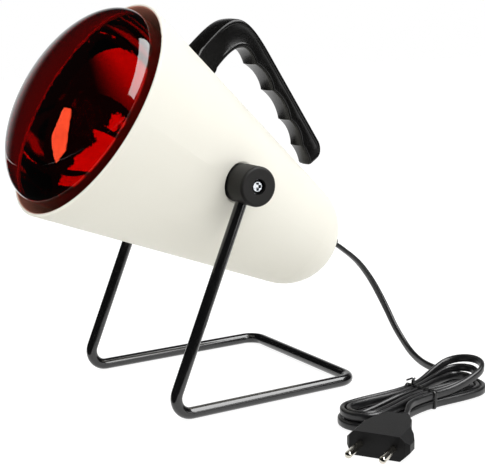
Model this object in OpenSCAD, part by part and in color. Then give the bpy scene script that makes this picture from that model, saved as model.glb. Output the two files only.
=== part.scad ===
// Infrared heat therapy lamp: a conical housing with a ruby reflector bulb,
// a finger-grip handle, a bent-rod stand that it tilts in, and a flat mains cord with its plug.
// +Z is up, the lamp faces -Y, and it stands on z = 0 with the middle of its footprint at the origin.

/* [Housing] */
// Radius of the housing's mouth
mouth_r = 70; // [68:0.5:74]
// Distance of the mouth plane in front of the pivot
mouth_ahead = 86; // [84:0.5:90]
// Radius of the rounded rear end
rear_r = 35.5; // [34.5:0.5:37]
// Distance of the rear end's centre behind the pivot
rear_back = 76; // [75:0.5:80]
// Thickness of the moulded wall
wall = 2.2; // [2:0.1:2.8]
// How far the housing's axis passes below the pivot
axis_drop = 2; // [1:0.5:3]

/* [Pose] */
// Elevation of the lamp's axis at rest
lamp_tilt = 32.3; // [20:0.1:45]
// Height of the pivot above the table
pivot_h = 134; // [130:0.5:140]

/* [Stand] */
// Diameter of the stand's rod
rod_d = 7; // [6:0.5:8]
// Distance of the side rails' centre lines from the middle
rail_x = 58.5; // [58:0.5:60]
// Distance of the front bends ahead of the pivot
front_reach = 55; // [50:1:60]
// Distance of the rear bar behind the pivot
rear_reach = 76.5; // [70:0.5:85]
// Radius of the rod's bends, on its centre line
bend_r = 10; // [9:0.5:12]

/* [Pivot] */
// Radius of a pivot knob
knob_r = 11.7; // [11:0.1:12.2]
// Distance of a knob's outer face from the middle
knob_out = 71; // [70:0.5:73]
// Diameter of the pivot screws
pivot_screw_d = 4; // [3.5:0.5:4]

/* [Bulb] */
// Largest radius of the bulb's glass
bulb_r = 62.8; // [60:0.1:63.5]
// Distance of the bulb's widest ring in front of the pivot
bulb_ahead = 89; // [87:0.5:91]
// Height of the bulb's dome
dome_h = 29; // [26:0.5:31]

/* [Handle] */
// Half of the handle's width at its foot
foot_half_w = 9.4; // [9:0.1:10.5]
// Half of the handle's width at its free end
tail_half_w = 6.6; // [6:0.1:7.5]
// Depth of the finger grooves
groove_depth = 2.5; // [1.5:0.1:2.8]

/* [Cord] */
// Width of the flat cord
cord_w = 4.9; // [4.5:0.1:5]
// Thickness of the flat cord
cord_t = 3; // [2.8:0.1:3.1]
// Turns in the hank
hank_turns = 5.25; // [5.25:1:5.25]

/* [Hidden] */
$fn = 96;

// Colours, as the photograph shows them
white_plastic = "#F2F0EA";
black_plastic = "#1B1B1B";
black_rod = "#141414";
ruby_glass = "#7A1210";
steel = "#C9CBCC";
brass = "#C9A24B";
porcelain = "#ECE7DC";

rod_r = rod_d / 2;
pivot_y = 6.4;              // puts the middle of the footprint at y = 0
fit_gap = 0.05;             // radial gap of a running fit
slack = 0.15;               // gap round a piece that only sits in its place
seat_gap = 0.2;             // gap between two faces that rub

// Housing outline: a cone that runs into a sphere without an edge
axis_len = mouth_ahead + rear_back;
// Half-angle at which a line from the mouth's edge touches the rear sphere
cone_a = atan(mouth_r / axis_len) - asin(rear_r / sqrt(axis_len * axis_len + mouth_r * mouth_r));
touch_z = -rear_back - rear_r * sin(cone_a);
touch_r = rear_r * cos(cone_a);
cone_slope = (mouth_r - touch_r) / (mouth_ahead - touch_z);
function housing_r(z) = mouth_r - cone_slope * (mouth_ahead - z);
wall_r = wall / cos(cone_a);
lip_r = wall / 2;           // rounding of the mouth's lip
lip_z = mouth_ahead - lip_r;

// Pivot stack, as distances from the middle
seat_x = 50;                // flat seat on the housing
boss_in = 45.9;             // inner face of the housing's boss
spacer_out = 54;
washer_t = 0.6;
knob_in = spacer_out + seat_gap + washer_t;
recess_floor = knob_out - 5;
recess_r = 4.6;
head_washer_t = 0.8;
head_gap = 0.1;             // gap between that washer and the knob
pivot_screw_len = 25;
pivot_head_r = 3.9;
pivot_head_h = 2.6;
nut_t = 3.2;
nut_r = 4.04;               // over the nut's corners
eye_t = 3.6;                // thickness of the rod's flattened eyes
eye_r = 6;
screw_r = pivot_screw_d / 2;

// Lamp holder and bulb base, along the lamp's axis from the pivot
cap_r = 13;                 // crest radius of the bulb's screw cap
cap_root_r = 12.2;
thread_pitch = 3.62;
cap_top = -33;
cap_bottom = -54;
tip_end = -60;
holder_r = 21;
holder_top = -36;
holder_bottom = -72;
shell_t = 0.5;
fixing_n = 12;              // distance of the holder's fixing screws from its axis
fixing_r = 1.5;
wire_hole_r = 8;            // hole that the wires and the contact's tab pass through
neck_r = 16;                // radius of the bulb's neck

// Cord exit, as a height above the pivot and distances along the axis
exit_n = 7.5;
exit_a = -117;
exit_r = 5;                 // hole for the cord's bushing
flange_r = 6.1;             // room for the bushing's flange inside the wall
flange_a = exit_a + 7;      // where that room starts
cord_seat = exit_n - cord_t / 2;
inner_cord = 27;            // length of the flat cord inside the housing

// Places a shape drawn on the lamp's own axes: z along the axis towards the mouth, y up from it
module in_lamp() translate([0, pivot_y, pivot_h]) rotate([90 - lamp_tilt, 0, 0]) children();
module on_axis() in_lamp() translate([0, -axis_drop, 0]) children();
// Lays a shape drawn along z along +X at the pivot
module across() rotate([0, 90, 0]) children();
module both_sides() {
    children();
    mirror([1, 0, 0]) children();
}
module tube(r_out, r_in, h) difference() {
    cylinder(r = r_out, h = h);
    translate([0, 0, -1]) cylinder(r = r_in, h = h + 2);
}

// ---- Stand ----

// Corners of the rod's centre line: one side's pivot, the U on the table, the other side's pivot
stand_line = [[rail_x, 0, pivot_h], [rail_x, -front_reach, rod_r], [rail_x, rear_reach, rod_r],
    [-rail_x, rear_reach, rod_r], [-rail_x, -front_reach, rod_r], [-rail_x, 0, pivot_h]];
up_lean = atan(front_reach / (pivot_h - rod_r));
function unit(v) = v / norm(v);
function turn_at(p, i) = acos(unit(p[i] - p[i - 1]) * unit(p[i + 1] - p[i]));
// Length that a bend, or a pivot's eye, takes off the straight run at corner i
function cut_at(p, i) = i == 0 || i == len(p) - 1 ? eye_r : bend_r * tan(turn_at(p, i) / 2);
// Places a shape drawn along z so that it runs from point a towards point b
module along(a, b, start) {
    d = unit(b - a);
    side = abs(d[2]) > 0.9 ? [1, 0, 0] : unit(cross([0, 0, 1], d));
    e2 = cross(d, side);
    o = a + d * start;
    multmatrix([[side[0], e2[0], d[0], o[0]], [side[1], e2[1], d[1], o[1]], [side[2], e2[2], d[2], o[2]]])
        children();
}
bend_over = 2;               // how far a bend reaches into the straight runs, in degrees
bend_step = 0.02;            // how much thinner it is, so that its ends lie inside them
// A bend of the rod at corner i
module bend(p, i) {
    a = unit(p[i] - p[i - 1]);
    b = unit(p[i + 1] - p[i]);
    m = unit(b - a * (a * b));
    z = cross(-m, a);
    c = p[i] - a * cut_at(p, i) + m * bend_r;
    multmatrix([[-m[0], a[0], z[0], c[0]], [-m[1], a[1], z[1], c[1]], [-m[2], a[2], z[2], c[2]]])
        rotate([0, 0, -bend_over]) rotate_extrude(angle = turn_at(p, i) + 2 * bend_over)
            translate([bend_r, 0]) circle(r = rod_r - bend_step);
}
// Flattened end of the rod, with the hole of the pivot screw
module rod_eye() rotate([180 - up_lean, 0, 0]) difference() {
    union() {
        translate([-eye_t / 2, 0, 0]) across() cylinder(r = eye_r, h = eye_t);
        translate([-eye_t / 2, -rod_r, 0]) cube([eye_t, rod_d, eye_r + 1]);
    }
    translate([-eye_t, 0, 0]) across() cylinder(r = screw_r + 2 * fit_gap, h = 2 * eye_t);
}
module stand_rod() color(black_rod) translate([0, pivot_y, 0]) {
    for (i = [0:len(stand_line) - 2]) along(stand_line[i], stand_line[i + 1], cut_at(stand_line, i))
        cylinder(r = rod_r,
            h = norm(stand_line[i + 1] - stand_line[i]) - cut_at(stand_line, i) - cut_at(stand_line, i + 1));
    for (i = [1:len(stand_line) - 2]) bend(stand_line, i);
    for (s = [-1, 1]) translate([s * rail_x, 0, pivot_h]) rod_eye();
}

// ---- Pivots ----

module knob() {
    edge = 1.6;              // rounding of the knob's outer rim
    translate([0, pivot_y, pivot_h]) difference() {
        across() union() {
            translate([0, 0, knob_in]) cylinder(r = knob_r, h = knob_out - edge - knob_in);
            translate([0, 0, knob_out - edge]) rotate_extrude() {
                square([knob_r - edge, edge]);
                intersection() {
                    translate([knob_r - edge, 0]) circle(r = edge);
                    square([knob_r, edge]);
                }
            }
        }
        // Bore on the screw, and the recess of its head
        across() translate([0, 0, knob_in - 1]) cylinder(r = screw_r + fit_gap, h = knob_out);
        across() translate([0, 0, recess_floor]) cylinder(r = recess_r, h = 10);
        // Groove that holds the end of the rod, open towards the housing
        rotate([180 - up_lean, 0, 0]) {
            translate([knob_in - 1, 0, 0]) across()
                cylinder(r = eye_r + slack, h = rail_x + eye_t / 2 + slack - knob_in + 1);
            translate([rail_x, 0, eye_r - 1]) cylinder(r = rod_r + slack, h = knob_r);
            translate([knob_in - 1, -rod_r - slack, 0])
                cube([rail_x + eye_t / 2 + slack - knob_in + 1, rod_d + 2 * slack, knob_r + 1]);
        }
    }
}
module pivot_knob_right() color(black_plastic) knob();
module pivot_knob_left() color(black_plastic) mirror([1, 0, 0]) knob();
module friction_washers() color(steel) both_sides() translate([0, pivot_y, pivot_h]) across()
    translate([0, 0, spacer_out + seat_gap]) tube(knob_r - 1.2, screw_r + fit_gap, washer_t);
module pivot_spacers() color(black_plastic) both_sides() translate([0, pivot_y, pivot_h]) across()
    translate([0, 0, seat_x]) tube(knob_r - 0.2, screw_r, spacer_out - seat_x);
module pivot_washers() color(steel) both_sides() translate([0, pivot_y, pivot_h]) across()
    translate([0, 0, recess_floor + head_gap]) tube(recess_r - 0.3, screw_r, head_washer_t);
module pivot_screws() color(steel) both_sides() translate([0, pivot_y, pivot_h]) across()
    translate([0, 0, recess_floor + head_gap + head_washer_t])
        pan_screw(screw_r, pivot_screw_len, pivot_head_r, pivot_head_h);
module pivot_nuts() color(steel) both_sides() translate([0, pivot_y, pivot_h]) across()
    translate([0, 0, boss_in - nut_t]) difference() {
        cylinder(r = nut_r, h = nut_t, $fn = 6);
        translate([0, 0, -1]) cylinder(r = screw_r, h = nut_t + 2);
    }

// A screw that points along -z, with its head above z = 0 and a cross recess in it
module pan_screw(r, len, head_r, head_h) {
    slot = head_r * 0.22;
    difference() {
        union() {
            translate([0, 0, -len]) cylinder(r = r, h = len);
            cylinder(r = head_r, h = head_h * 0.55);
            translate([0, 0, head_h * 0.55]) cylinder(r1 = head_r, r2 = head_r * 0.72, h = head_h * 0.45);
        }
        for (a = [0, 90]) rotate([0, 0, a])
            translate([-head_r * 0.6, -slot, head_h * 0.45]) cube([head_r * 1.2, 2 * slot, head_h]);
    }
}

// ---- Housing ----

// The housing's outline as a solid, grown by d, up to a little past the lip
module housing_solid(d = 0, past = 0) {
    cone_z = -rear_back - (rear_r + d) * sin(cone_a);
    front_z = lip_z + past;
    translate([0, 0, -rear_back]) sphere(r = rear_r + d);
    translate([0, 0, cone_z])
        cylinder(r1 = (rear_r + d) * cos(cone_a), r2 = housing_r(front_z) + d / cos(cone_a),
            h = front_z - cone_z);
}
pad_w = 24;                  // pad under the handle's foot, inside the wall
pad_l = 15;
pad_n = 52.6;                // height of the pad's inner face above the pivot
foot_a = 35;                 // middle of the handle's foot along the axis
handle_screw_x = 5.2;
handle_screw_r = 1.6;
post_x = 25;                 // posts that carry the lamp holder's bracket
post_r = 4;
bracket_a = holder_bottom - 2;
bracket_t = 1.5;
platform_front = -91;
platform_n = cord_seat;
clamp_x = 6.4;
clamp_screw_r = 1.25;

module housing_shell() color(white_plastic) in_lamp() difference() {
    union() {
        difference() {
            translate([0, -axis_drop, 0]) housing_solid();
            translate([0, -axis_drop, 0]) housing_solid(-wall, past = 1);
        }
        translate([0, -axis_drop, lip_z]) rotate_extrude() translate([housing_r(lip_z) - wall_r / 2, 0])
            circle(r = lip_r);
        // What stands on the inside of the wall
        intersection() {
            translate([0, -axis_drop, 0]) housing_solid(-wall / 2);
            union() {
                both_sides() across() translate([0, 0, boss_in]) cylinder(r = knob_r + 2, h = 12);
                translate([-pad_w / 2, pad_n, foot_a - pad_l / 2]) cube([pad_w, 12, pad_l]);
                both_sides() translate([post_x, -axis_drop, bracket_a - bracket_t - 60])
                    cylinder(r = post_r, h = 60);
                translate([-9, platform_n - 7, platform_front - 30]) cube([18, 7, 30]);
            }
        }
    }
    both_sides() across() {
        translate([0, 0, seat_x]) cylinder(r = knob_r + 0.9, h = 20);
        translate([0, 0, 30]) cylinder(r = screw_r, h = 40);
    }
    both_sides() translate([handle_screw_x, 40, foot_a]) rotate([-90, 0, 0])
        cylinder(r = handle_screw_r, h = 30);
    both_sides() translate([post_x, -axis_drop, bracket_a - bracket_t - 9])
        cylinder(r = clamp_screw_r, h = 20);
    both_sides() translate([clamp_x, platform_n - 9, platform_front - 4]) rotate([-90, 0, 0])
        cylinder(r = clamp_screw_r, h = 12);
    translate([0, exit_n, exit_a]) cylinder(r = exit_r, h = 12);
    // Room for the bushing's inner flange
    intersection() {
        translate([0, exit_n, flange_a]) cylinder(r = flange_r, h = 5.2);
        translate([0, -axis_drop, -rear_back]) sphere(r = rear_r - wall);
    }
}

// ---- Handle ----

// Side view of the handle, as (distance along the axis, height above the pivot)
outer_bow = [[45, 52], [34.5, 91.5], [33.3, 103], [-2.6, 86.7]];
inner_bow = [[26.5, 54], [23.9, 68.2], [20, 90], [2.4, 75.6]];
grip_fall = 24.2;            // slope of the grip against the axis
grip_len = 78.3;
// Ridges between the finger grooves: distance along the grip, and the grip's depth there
ridges = [[0, 12.2], [20.9, 11], [43.9, 11.1], [63.3, 12.9], [78.3, 15]];
end_round = 9.4;             // rounding of the grip's free end
function bezier(p, t) = pow(1 - t, 3) * p[0] + 3 * t * pow(1 - t, 2) * p[1]
    + 3 * t * t * (1 - t) * p[2] + pow(t, 3) * p[3];
grip_dir = [-cos(grip_fall), -sin(grip_fall)];
grip_in = [sin(grip_fall), -cos(grip_fall)];
function ridge_of(s) = max([for (i = [0:3]) if (s >= ridges[i][0]) i]);
function groove(s) = let (i = ridge_of(s), a = ridges[i], b = ridges[i + 1], u = (s - a[0]) / (b[0] - a[0]))
    a[1] + (b[1] - a[1]) * u - (i < 3 ? groove_depth : groove_depth / 2) * pow(sin(180 * u), 0.8);
function end_in(s) = s < grip_len - end_round ? 0
    : end_round * (1 - sqrt(1 - pow((s - grip_len + end_round) / (end_round + 0.6), 2)));
bow_steps = 16;
groove_steps = 8;
grip_stops = [for (i = [0:3]) for (k = [0:groove_steps - 1])
    ridges[i][0] + (ridges[i + 1][0] - ridges[i][0]) * k / groove_steps, grip_len];
flare = 3.5;                 // how much the foot widens where it meets the housing
// Stations of the handle: its outer point, its inner point and its half width
stations = concat(
    [for (i = [0:bow_steps - 1]) let (t = i / bow_steps)
        [bezier(outer_bow, t), bezier(inner_bow, t), foot_half_w - t * 1.2 + flare * pow(1 - t, 12)]],
    [for (s = grip_stops) let (base = outer_bow[3] + grip_dir * s)
        [base + grip_in * end_in(s), base + grip_in * groove(s),
            (foot_half_w - 1.2) + (tail_half_w - foot_half_w + 1.2) * s / grip_len]]);
grip_sides = 20;
function squircle(v) = sign(v) * pow(abs(v), 0.62);
function grip_ring(st) = [for (k = [0:grip_sides - 1]) let (a = 360 * k / grip_sides,
    m = (st[0] + st[1]) / 2, h = (st[0] - st[1]) / 2, p = m + h * squircle(sin(a)))
    [-st[2] * squircle(cos(a)), p[1], p[0]]];
// A closed skin over rings of equal length, its ends closed flat
module skin(rings) {
    n = len(rings[0]);
    m = len(rings);
    polyhedron(points = [for (r = rings) each r],
        faces = concat([[for (k = [0:n - 1]) k]], [[for (k = [n - 1:-1:0]) (m - 1) * n + k]],
            [for (i = [0:m - 2]) for (k = [0:n - 1]) each [
                [i * n + k, (i + 1) * n + (k + 1) % n, i * n + (k + 1) % n],
                [i * n + k, (i + 1) * n + k, (i + 1) * n + (k + 1) % n]]]));
}
module handle_grip() color(black_plastic) in_lamp() difference() {
    skin([for (st = stations) grip_ring(st)]);
    translate([0, -axis_drop, 0]) housing_solid($fn = 240);
    both_sides() translate([handle_screw_x, pad_n, foot_a]) rotate([-90, 0, 0])
        cylinder(r = handle_screw_r, h = 15.5);
}
module handle_plate() color(steel) in_lamp() translate([0, pad_n - 1.2, foot_a]) difference() {
    translate([-11, 0, -6]) cube([22, 1.2, 12]);
    both_sides() translate([handle_screw_x, -1, 0]) rotate([-90, 0, 0]) cylinder(r = handle_screw_r, h = 4);
}
module handle_screws() color(steel) in_lamp() both_sides()
    translate([handle_screw_x, pad_n - 1.2, foot_a]) rotate([90, 0, 0]) pan_screw(handle_screw_r, 16, 2.9, 2);

// ---- Lamp holder ----

module holder_body() color(porcelain) on_axis() difference() {
    union() {
        translate([0, 0, holder_bottom]) cylinder(r = holder_r, h = holder_top - holder_bottom - 2);
        translate([0, 0, holder_top - 2]) cylinder(r1 = holder_r, r2 = holder_r - 2, h = 2);
    }
    translate([0, 0, -62]) cylinder(r = cap_r + 0.1 + shell_t, h = 40);
    // Terminal pockets in its flanks, the wires' channels to them, and the fixing screws' holes
    for (s = [-1, 1]) {
        translate([s * (holder_r - 3) - 4, -4, holder_bottom - 1]) cube([8, 8, 9]);
        translate([s * (holder_r - 3) - 4, 0, holder_bottom - 1]) cube([8, holder_r, 3.5]);
        translate([0, s * fixing_n, holder_bottom - 1]) cylinder(r = fixing_r, h = 8);
    }
}
module holder_screw_shell() color(steel) on_axis() difference() {
    translate([0, 0, -61]) cylinder(r = cap_r + 0.1 + shell_t, h = 23);
    translate([0, 0, -60.5]) cylinder(r = cap_r + 0.1, h = 24);
    translate([0, 0, -62]) cylinder(r = wire_hole_r, h = 4);
}
module holder_contact() color(brass) on_axis() {
    translate([-3, -3, -62]) cube([6, 6, 1.2]);
    translate([0, 0, -61]) cylinder(r = 3, h = 0.8);
}
module holder_terminals() color(brass) on_axis() for (s = [-1, 1]) {
    translate([s * (holder_r - 3) - 3, -3, holder_bottom + 2]) cube([6, 6, 5.5]);
    translate([s * (holder_r - 3), 0, holder_bottom + 2]) rotate([180, 0, 0]) pan_screw(1.2, 1, 2.2, 1.4);
}
module holder_bracket() color(steel) on_axis() difference() {
    union() {
        translate([-post_x, -7, bracket_a - bracket_t]) cube([2 * post_x, 14, bracket_t]);
        both_sides() translate([post_x, 0, bracket_a - bracket_t]) cylinder(r = 7, h = bracket_t);
        translate([0, 0, bracket_a - bracket_t]) cylinder(r = 15.5, h = bracket_t + 2);
    }
    both_sides() translate([post_x, 0, bracket_a - 5]) cylinder(r = clamp_screw_r, h = 9);
    for (s = [-1, 1]) translate([0, s * fixing_n, bracket_a - 5]) cylinder(r = fixing_r, h = 9);
    translate([0, 0, bracket_a - 5]) cylinder(r = wire_hole_r, h = 9);
}
module bracket_screws() color(steel) on_axis() both_sides()
    translate([post_x, 0, bracket_a]) pan_screw(clamp_screw_r, 9, 2.6, 1.8);
module holder_screws() color(steel) on_axis() for (s = [-1, 1])
    translate([0, s * fixing_n, bracket_a - bracket_t]) rotate([180, 0, 0]) pan_screw(fixing_r, 10, 2.8, 1.9);

// ---- Cord entry ----

// A flat cord's cross-section, its width along x, grown by d
module cord_section(d = 0) hull() for (s = [-1, 1])
    translate([s * (cord_w - cord_t) / 2, 0]) circle(r = cord_t / 2 + d, $fn = 32);
module cord_bushing() color(black_plastic) in_lamp() difference() {
    union() {
        translate([0, exit_n, exit_a + 2]) cylinder(r = exit_r - 0.1, h = 10);
        translate([0, exit_n, exit_a]) cylinder(r1 = exit_r - 0.9, r2 = exit_r - 0.1, h = 2);
        difference() {
            translate([0, exit_n, exit_a + 5]) cylinder(r = flange_r - 0.2, h = 8);
            translate([0, -axis_drop, 0]) housing_solid();
        }
        intersection() {
            translate([0, exit_n, flange_a]) cylinder(r = flange_r - 0.2, h = 5);
            translate([0, -axis_drop, -rear_back]) sphere(r = rear_r - wall);
        }
    }
    translate([0, exit_n, exit_a - 1]) cylinder(r = cord_w / 2, h = 16);
}
module cord_inner_end() color(black_plastic) in_lamp()
    translate([0, exit_n, exit_a]) linear_extrude(height = inner_cord) cord_section();
module cord_clamp() color(white_plastic) in_lamp() difference() {
    translate([-9, exit_n + cord_t / 2, platform_front - 7]) cube([18, 2.5, 6]);
    both_sides() translate([clamp_x, exit_n, platform_front - 4]) rotate([-90, 0, 0])
        cylinder(r = clamp_screw_r, h = 8);
}
module clamp_screws() color(steel) in_lamp() both_sides()
    translate([clamp_x, exit_n + cord_t / 2 + 2.5, platform_front - 4]) rotate([-90, 0, 0])
        pan_screw(clamp_screw_r, 10, 2.5, 1.8);

// Direction of a path at point i, with d0 and d1 at its ends
function run_at(p, i, d0, d1) = i == 0 ? d0 : i == len(p) - 1 ? d1 : unit(p[i + 1] - p[i - 1]);
// Ring of n points round c, square to dir: w is half its width, along wide, and t half its thickness
function sweep_ring(c, dir, wide, w, t, n) = let (e1 = unit(wide - dir * (wide * dir)), e2 = cross(dir, e1))
    [for (k = [0:n - 1]) c + e1 * w * cos(360 * k / n) + e2 * t * sin(360 * k / n)];

wire_r = 0.9;
// One core from the end of the cord to a terminal, as points in the lamp's own axes
function core_path(s) = [[s * 1.2, exit_n, exit_a + inner_cord], [s * 2, exit_n + 1, -87], [s * 6, 13, -82],
    [s * 12, 16, -77], [s * 16.5, 16, -73], [s * 18, 13, -71.1], [s * 18, 8, -71], [s * 18, 0.3, -71]];
module core(s) in_lamp() {
    p = core_path(s);
    skin([for (i = [0:len(p) - 1]) sweep_ring(p[i], run_at(p, i, [0, 0, 1], [0, -1, 0]),
        [s, 0.3, 0.6], wire_r, wire_r, 8)]);
}
module wire_live() color("#6B4226") core(1);
module wire_neutral() color("#2F5DA8") core(-1);

// ---- Bulb ----

glass_t = 1;
// Outline of the glass behind its widest ring, from that ring back to the neck, as (radius, z)
flank = [[bulb_r, bulb_ahead], [bulb_r - 1, bulb_ahead - 36], [neck_r + 8, 32], [neck_r, -8]];
flank_steps = 24;
dome_steps = 20;
function dome_pt(a, d) = [(bulb_r - d) * cos(a), bulb_ahead + (dome_h - d) * sin(a)];
function flank_pt(t, d) = let (p = bezier(flank, t),
    q = bezier(flank, min(t + 0.01, 1)) - bezier(flank, max(t - 0.01, 0)))
    p + [q[1], -q[0]] / norm(q) * d;
function glass_line(d) = concat([for (i = [0:dome_steps - 1]) dome_pt(90 - 90 * i / dome_steps, d)],
    [for (i = [0:flank_steps]) flank_pt(i / flank_steps, d)]);
module bulb_glass() color(ruby_glass, 0.8) on_axis() rotate_extrude() polygon(concat(
    [[0, bulb_ahead + dome_h]], [for (p = glass_line(0)) [max(p[0], 0), p[1]]],
    [[neck_r, -20], [cap_root_r - 0.5, cap_top + 1], [cap_root_r - 0.5, cap_top - 3],
        [cap_root_r - 1.5, cap_top - 3], [cap_root_r - 1.5, cap_top + 1.5], [neck_r - glass_t, -20.5]],
    [for (i = [flank_steps:-1:0]) flank_pt(i / flank_steps, glass_t)],
    [for (i = [dome_steps - 1:-1:1]) dome_pt(90 - 90 * i / dome_steps, glass_t)],
    [[0, bulb_ahead + dome_h - glass_t]]));
// Aluminised coat on the inside of the flank
module bulb_mirror() color("#D8D8D8") on_axis() rotate_extrude() polygon(concat(
    [for (i = [1:flank_steps - 4]) flank_pt(i / flank_steps, glass_t + 0.05)],
    [for (i = [flank_steps - 4:-1:1]) flank_pt(i / flank_steps, glass_t + 0.35)]));
cap_steps = 48;
cap_h = cap_top - cap_bottom;
// Ringed thread: the cap's edge waves between its root and its crest once every pitch
function cap_edge(i) = let (h = cap_h * i / cap_steps)
    [(cap_r + cap_root_r) / 2 - (cap_r - cap_root_r) / 2 * cos(360 * h / thread_pitch), cap_bottom + h];
module bulb_cap() color(steel) on_axis() rotate_extrude() polygon(concat(
    [for (i = [0:cap_steps]) cap_edge(i)],
    [[cap_root_r - 0.4, cap_top], [cap_root_r - 0.4, cap_bottom + 0.5],
        [9, cap_bottom + 0.5], [9, cap_bottom]]));
module bulb_insulator() color("#202020") on_axis() difference() {
    translate([0, 0, tip_end + 1.5]) cylinder(r1 = 6, r2 = 11, h = cap_bottom - tip_end - 1.5);
    translate([0, 0, tip_end]) cylinder(r = 1.5, h = 10);
}
module bulb_tip_contact() color(steel) on_axis() {
    translate([0, 0, tip_end]) cylinder(r1 = 4, r2 = 4.8, h = 1.5);
    translate([0, 0, tip_end + 1]) cylinder(r = 1.2, h = 5);
}
stem_top = 22;
filament_a = 38;
filament_r = 11;
module bulb_stem() color("#DDE6E8", 0.6) on_axis() rotate_extrude() polygon([[0, stem_top], [3.5, stem_top],
    [3.5, 6], [5, -6], [10.7, cap_top], [10.7, cap_top - 2], [9.6, cap_top - 2], [9.6, cap_top], [2, -6],
    [0, -4]]);
module bulb_supports() color(steel) on_axis() {
    for (a = [40:70:320]) rotate([0, 0, a]) {
        translate([0, 0, stem_top + 0.5]) rotate([0, atan(filament_r / (filament_a - stem_top - 0.5)), 0])
            cylinder(r = 0.35, h = norm([filament_r, filament_a - stem_top - 0.5]) - 0.8);
    }
    translate([0, 0, stem_top]) cylinder(r = 2.5, h = 1.5);
}
module bulb_filament() color("#9A9A96") on_axis() translate([0, 0, filament_a]) rotate([0, 0, 25])
    rotate_extrude(angle = 310) translate([filament_r, 0]) circle(r = 0.8, $fn = 16);

// ---- Free cord ----

// Route from the bushing down to the table and round to the hank, chosen by hand
run_route = [[0, 113.6, 75.1], [0, 118.5, 71.5], [1, 124, 67], [2, 129.5, 61.5],
    [4, 134, 55], [6.5, 138, 47.5], [10, 141.5, 38.5], [15, 144, 29], [21.5, 145, 20], [30, 145, 12.5],
    [40, 143.5, 7], [51, 141.5, 4.2], [62, 139.4, 3.5], [74, 138.7, 3.4], [84, 139, 3.4]];
hank_at = [115, 84.5];       // middle of the hank on the table
hank_yaw = 100.3;            // direction of its length
hank_half = 42;              // half of a straight run
hank_r = 16;                 // radius of its outer folds
hank_pitch = 3.55;           // step from one loop to the next
hank_draw = 5;               // how far the tie draws the runs in
hank_lift = 13;              // rise of the last loop at the far end
layer_z = [3.4, 8.8];        // heights of the two layers
climb_at = 2.625;            // turn at which the cord starts to climb
turn_back = 2.75;            // turn at which the spiral reverses
hank_u = [cos(hank_yaw), sin(hank_yaw), 0];
hank_v = [sin(hank_yaw), -cos(hank_yaw), 0];
function ramp(x) = let (u = min(max(x, 0), 1)) u * u * (3 - 2 * u);
function hank_inset(q) = hank_pitch * (q < turn_back ? q : 2 * turn_back - q);
function drawn(u) = hank_draw * (1 + cos(180 * u / hank_half)) / 2;
// One turn, f from 0 to 1: half a fold, the near run, a fold, the far run, half a fold
function hank_shape(q) = let (f = q - floor(q), r = hank_r - hank_inset(q), l = hank_half)
    f < 0.125 ? [l + r * cos(720 * f), r * sin(720 * f)]
    : f < 0.375 ? let (u = l - 8 * l * (f - 0.125)) [u, r - drawn(u)]
    : f < 0.625 ? let (a = 90 + 720 * (f - 0.375)) [-l + r * cos(a), r * sin(a)]
    : f < 0.875 ? let (u = -l + 8 * l * (f - 0.625)) [u, -r + drawn(u)]
    : let (a = -90 + 720 * (f - 0.875)) [l + r * cos(a), r * sin(a)];
function hank_bump(q) = 1.3 * sin(180 * min(max((q - climb_at) / 0.12, 0), 1));
function hank_z(q, u) = layer_z[0] + (layer_z[1] - layer_z[0]) * ramp((q - climb_at) / 0.1)
    + hank_lift * max(0, (q - 3) / 2.25) * ramp((u - 12) / 60);
function hank_point(q) = let (p = hank_shape(q))
    [hank_at[0], hank_at[1], hank_z(q, p[0])] + hank_u * p[0] + hank_v * (p[1] + hank_bump(q));
// Stops along one turn, 24 in all, as evenly spaced shares of it
turn_stops = 24;
hank_turn_list = [for (k = [0:turn_stops * hank_turns]) k / turn_stops];
hank_start = hank_point(0) - 5 * hank_v;
hank_end = hank_point(hank_turns) - 5 * hank_u;
hank_path = concat([hank_start], [for (q = hank_turn_list) hank_point(q)], [hank_end]);
// Least gap between one turn of the hank and the others, over its points
function gap_of(a, b) = max(norm([a[0] - b[0], a[1] - b[1]]) - cord_t, abs(a[2] - b[2]) - cord_w);
hank_gap = min([for (i = [0:len(hank_path) - 8]) for (j = [i + 7:len(hank_path) - 1])
    gap_of(hank_path[i], hank_path[j])]);
echo(hank_least_gap_mm = hank_gap);
exit_dir = [0, cos(lamp_tilt), -sin(lamp_tilt)];
exit_at = [0, pivot_y, pivot_h] - exit_dir * exit_a + exit_n * [0, sin(lamp_tilt), cos(lamp_tilt)];
run_line = concat([exit_at], run_route, [hank_start - 8 * hank_v, hank_start]);
// Route from the hank's last run to the plug
tail_route = concat([hank_end], [[127.8, 74.5, 8.8], [131.5, 68, 8.7], [136.3, 62.8, 7.8], [141, 57.6, 6.9]]);
up = [0, 0, 1];
// The cord's width lies level where it leaves the housing, and turns upright on the way
run_wide = [for (i = [0:len(run_line) - 1]) let (u = ramp((i - 2) / 9)) [1 - u, 0, u + 0.001]];

module cord_run() color(black_plastic) skin([for (i = [0:len(run_line) - 1])
    sweep_ring(run_line[i], run_at(run_line, i, exit_dir, hank_v), run_wide[i], cord_w / 2, cord_t / 2, 10)]);
module cord_hank() color(black_plastic) skin([for (i = [0:len(hank_path) - 1])
    sweep_ring(hank_path[i], run_at(hank_path, i, hank_v, -hank_u), up, cord_w / 2, cord_t / 2, 6)]);
module cord_tail() color(black_plastic) skin([for (i = [0:len(tail_route) - 1])
    sweep_ring(tail_route[i], run_at(tail_route, i, -hank_u, plug_dir), up, cord_w / 2, cord_t / 2, 10)]);
tie_w = 2.2;
tie_t = 0.7;
tie_u = 6;                   // where the tie goes round the runs
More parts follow.
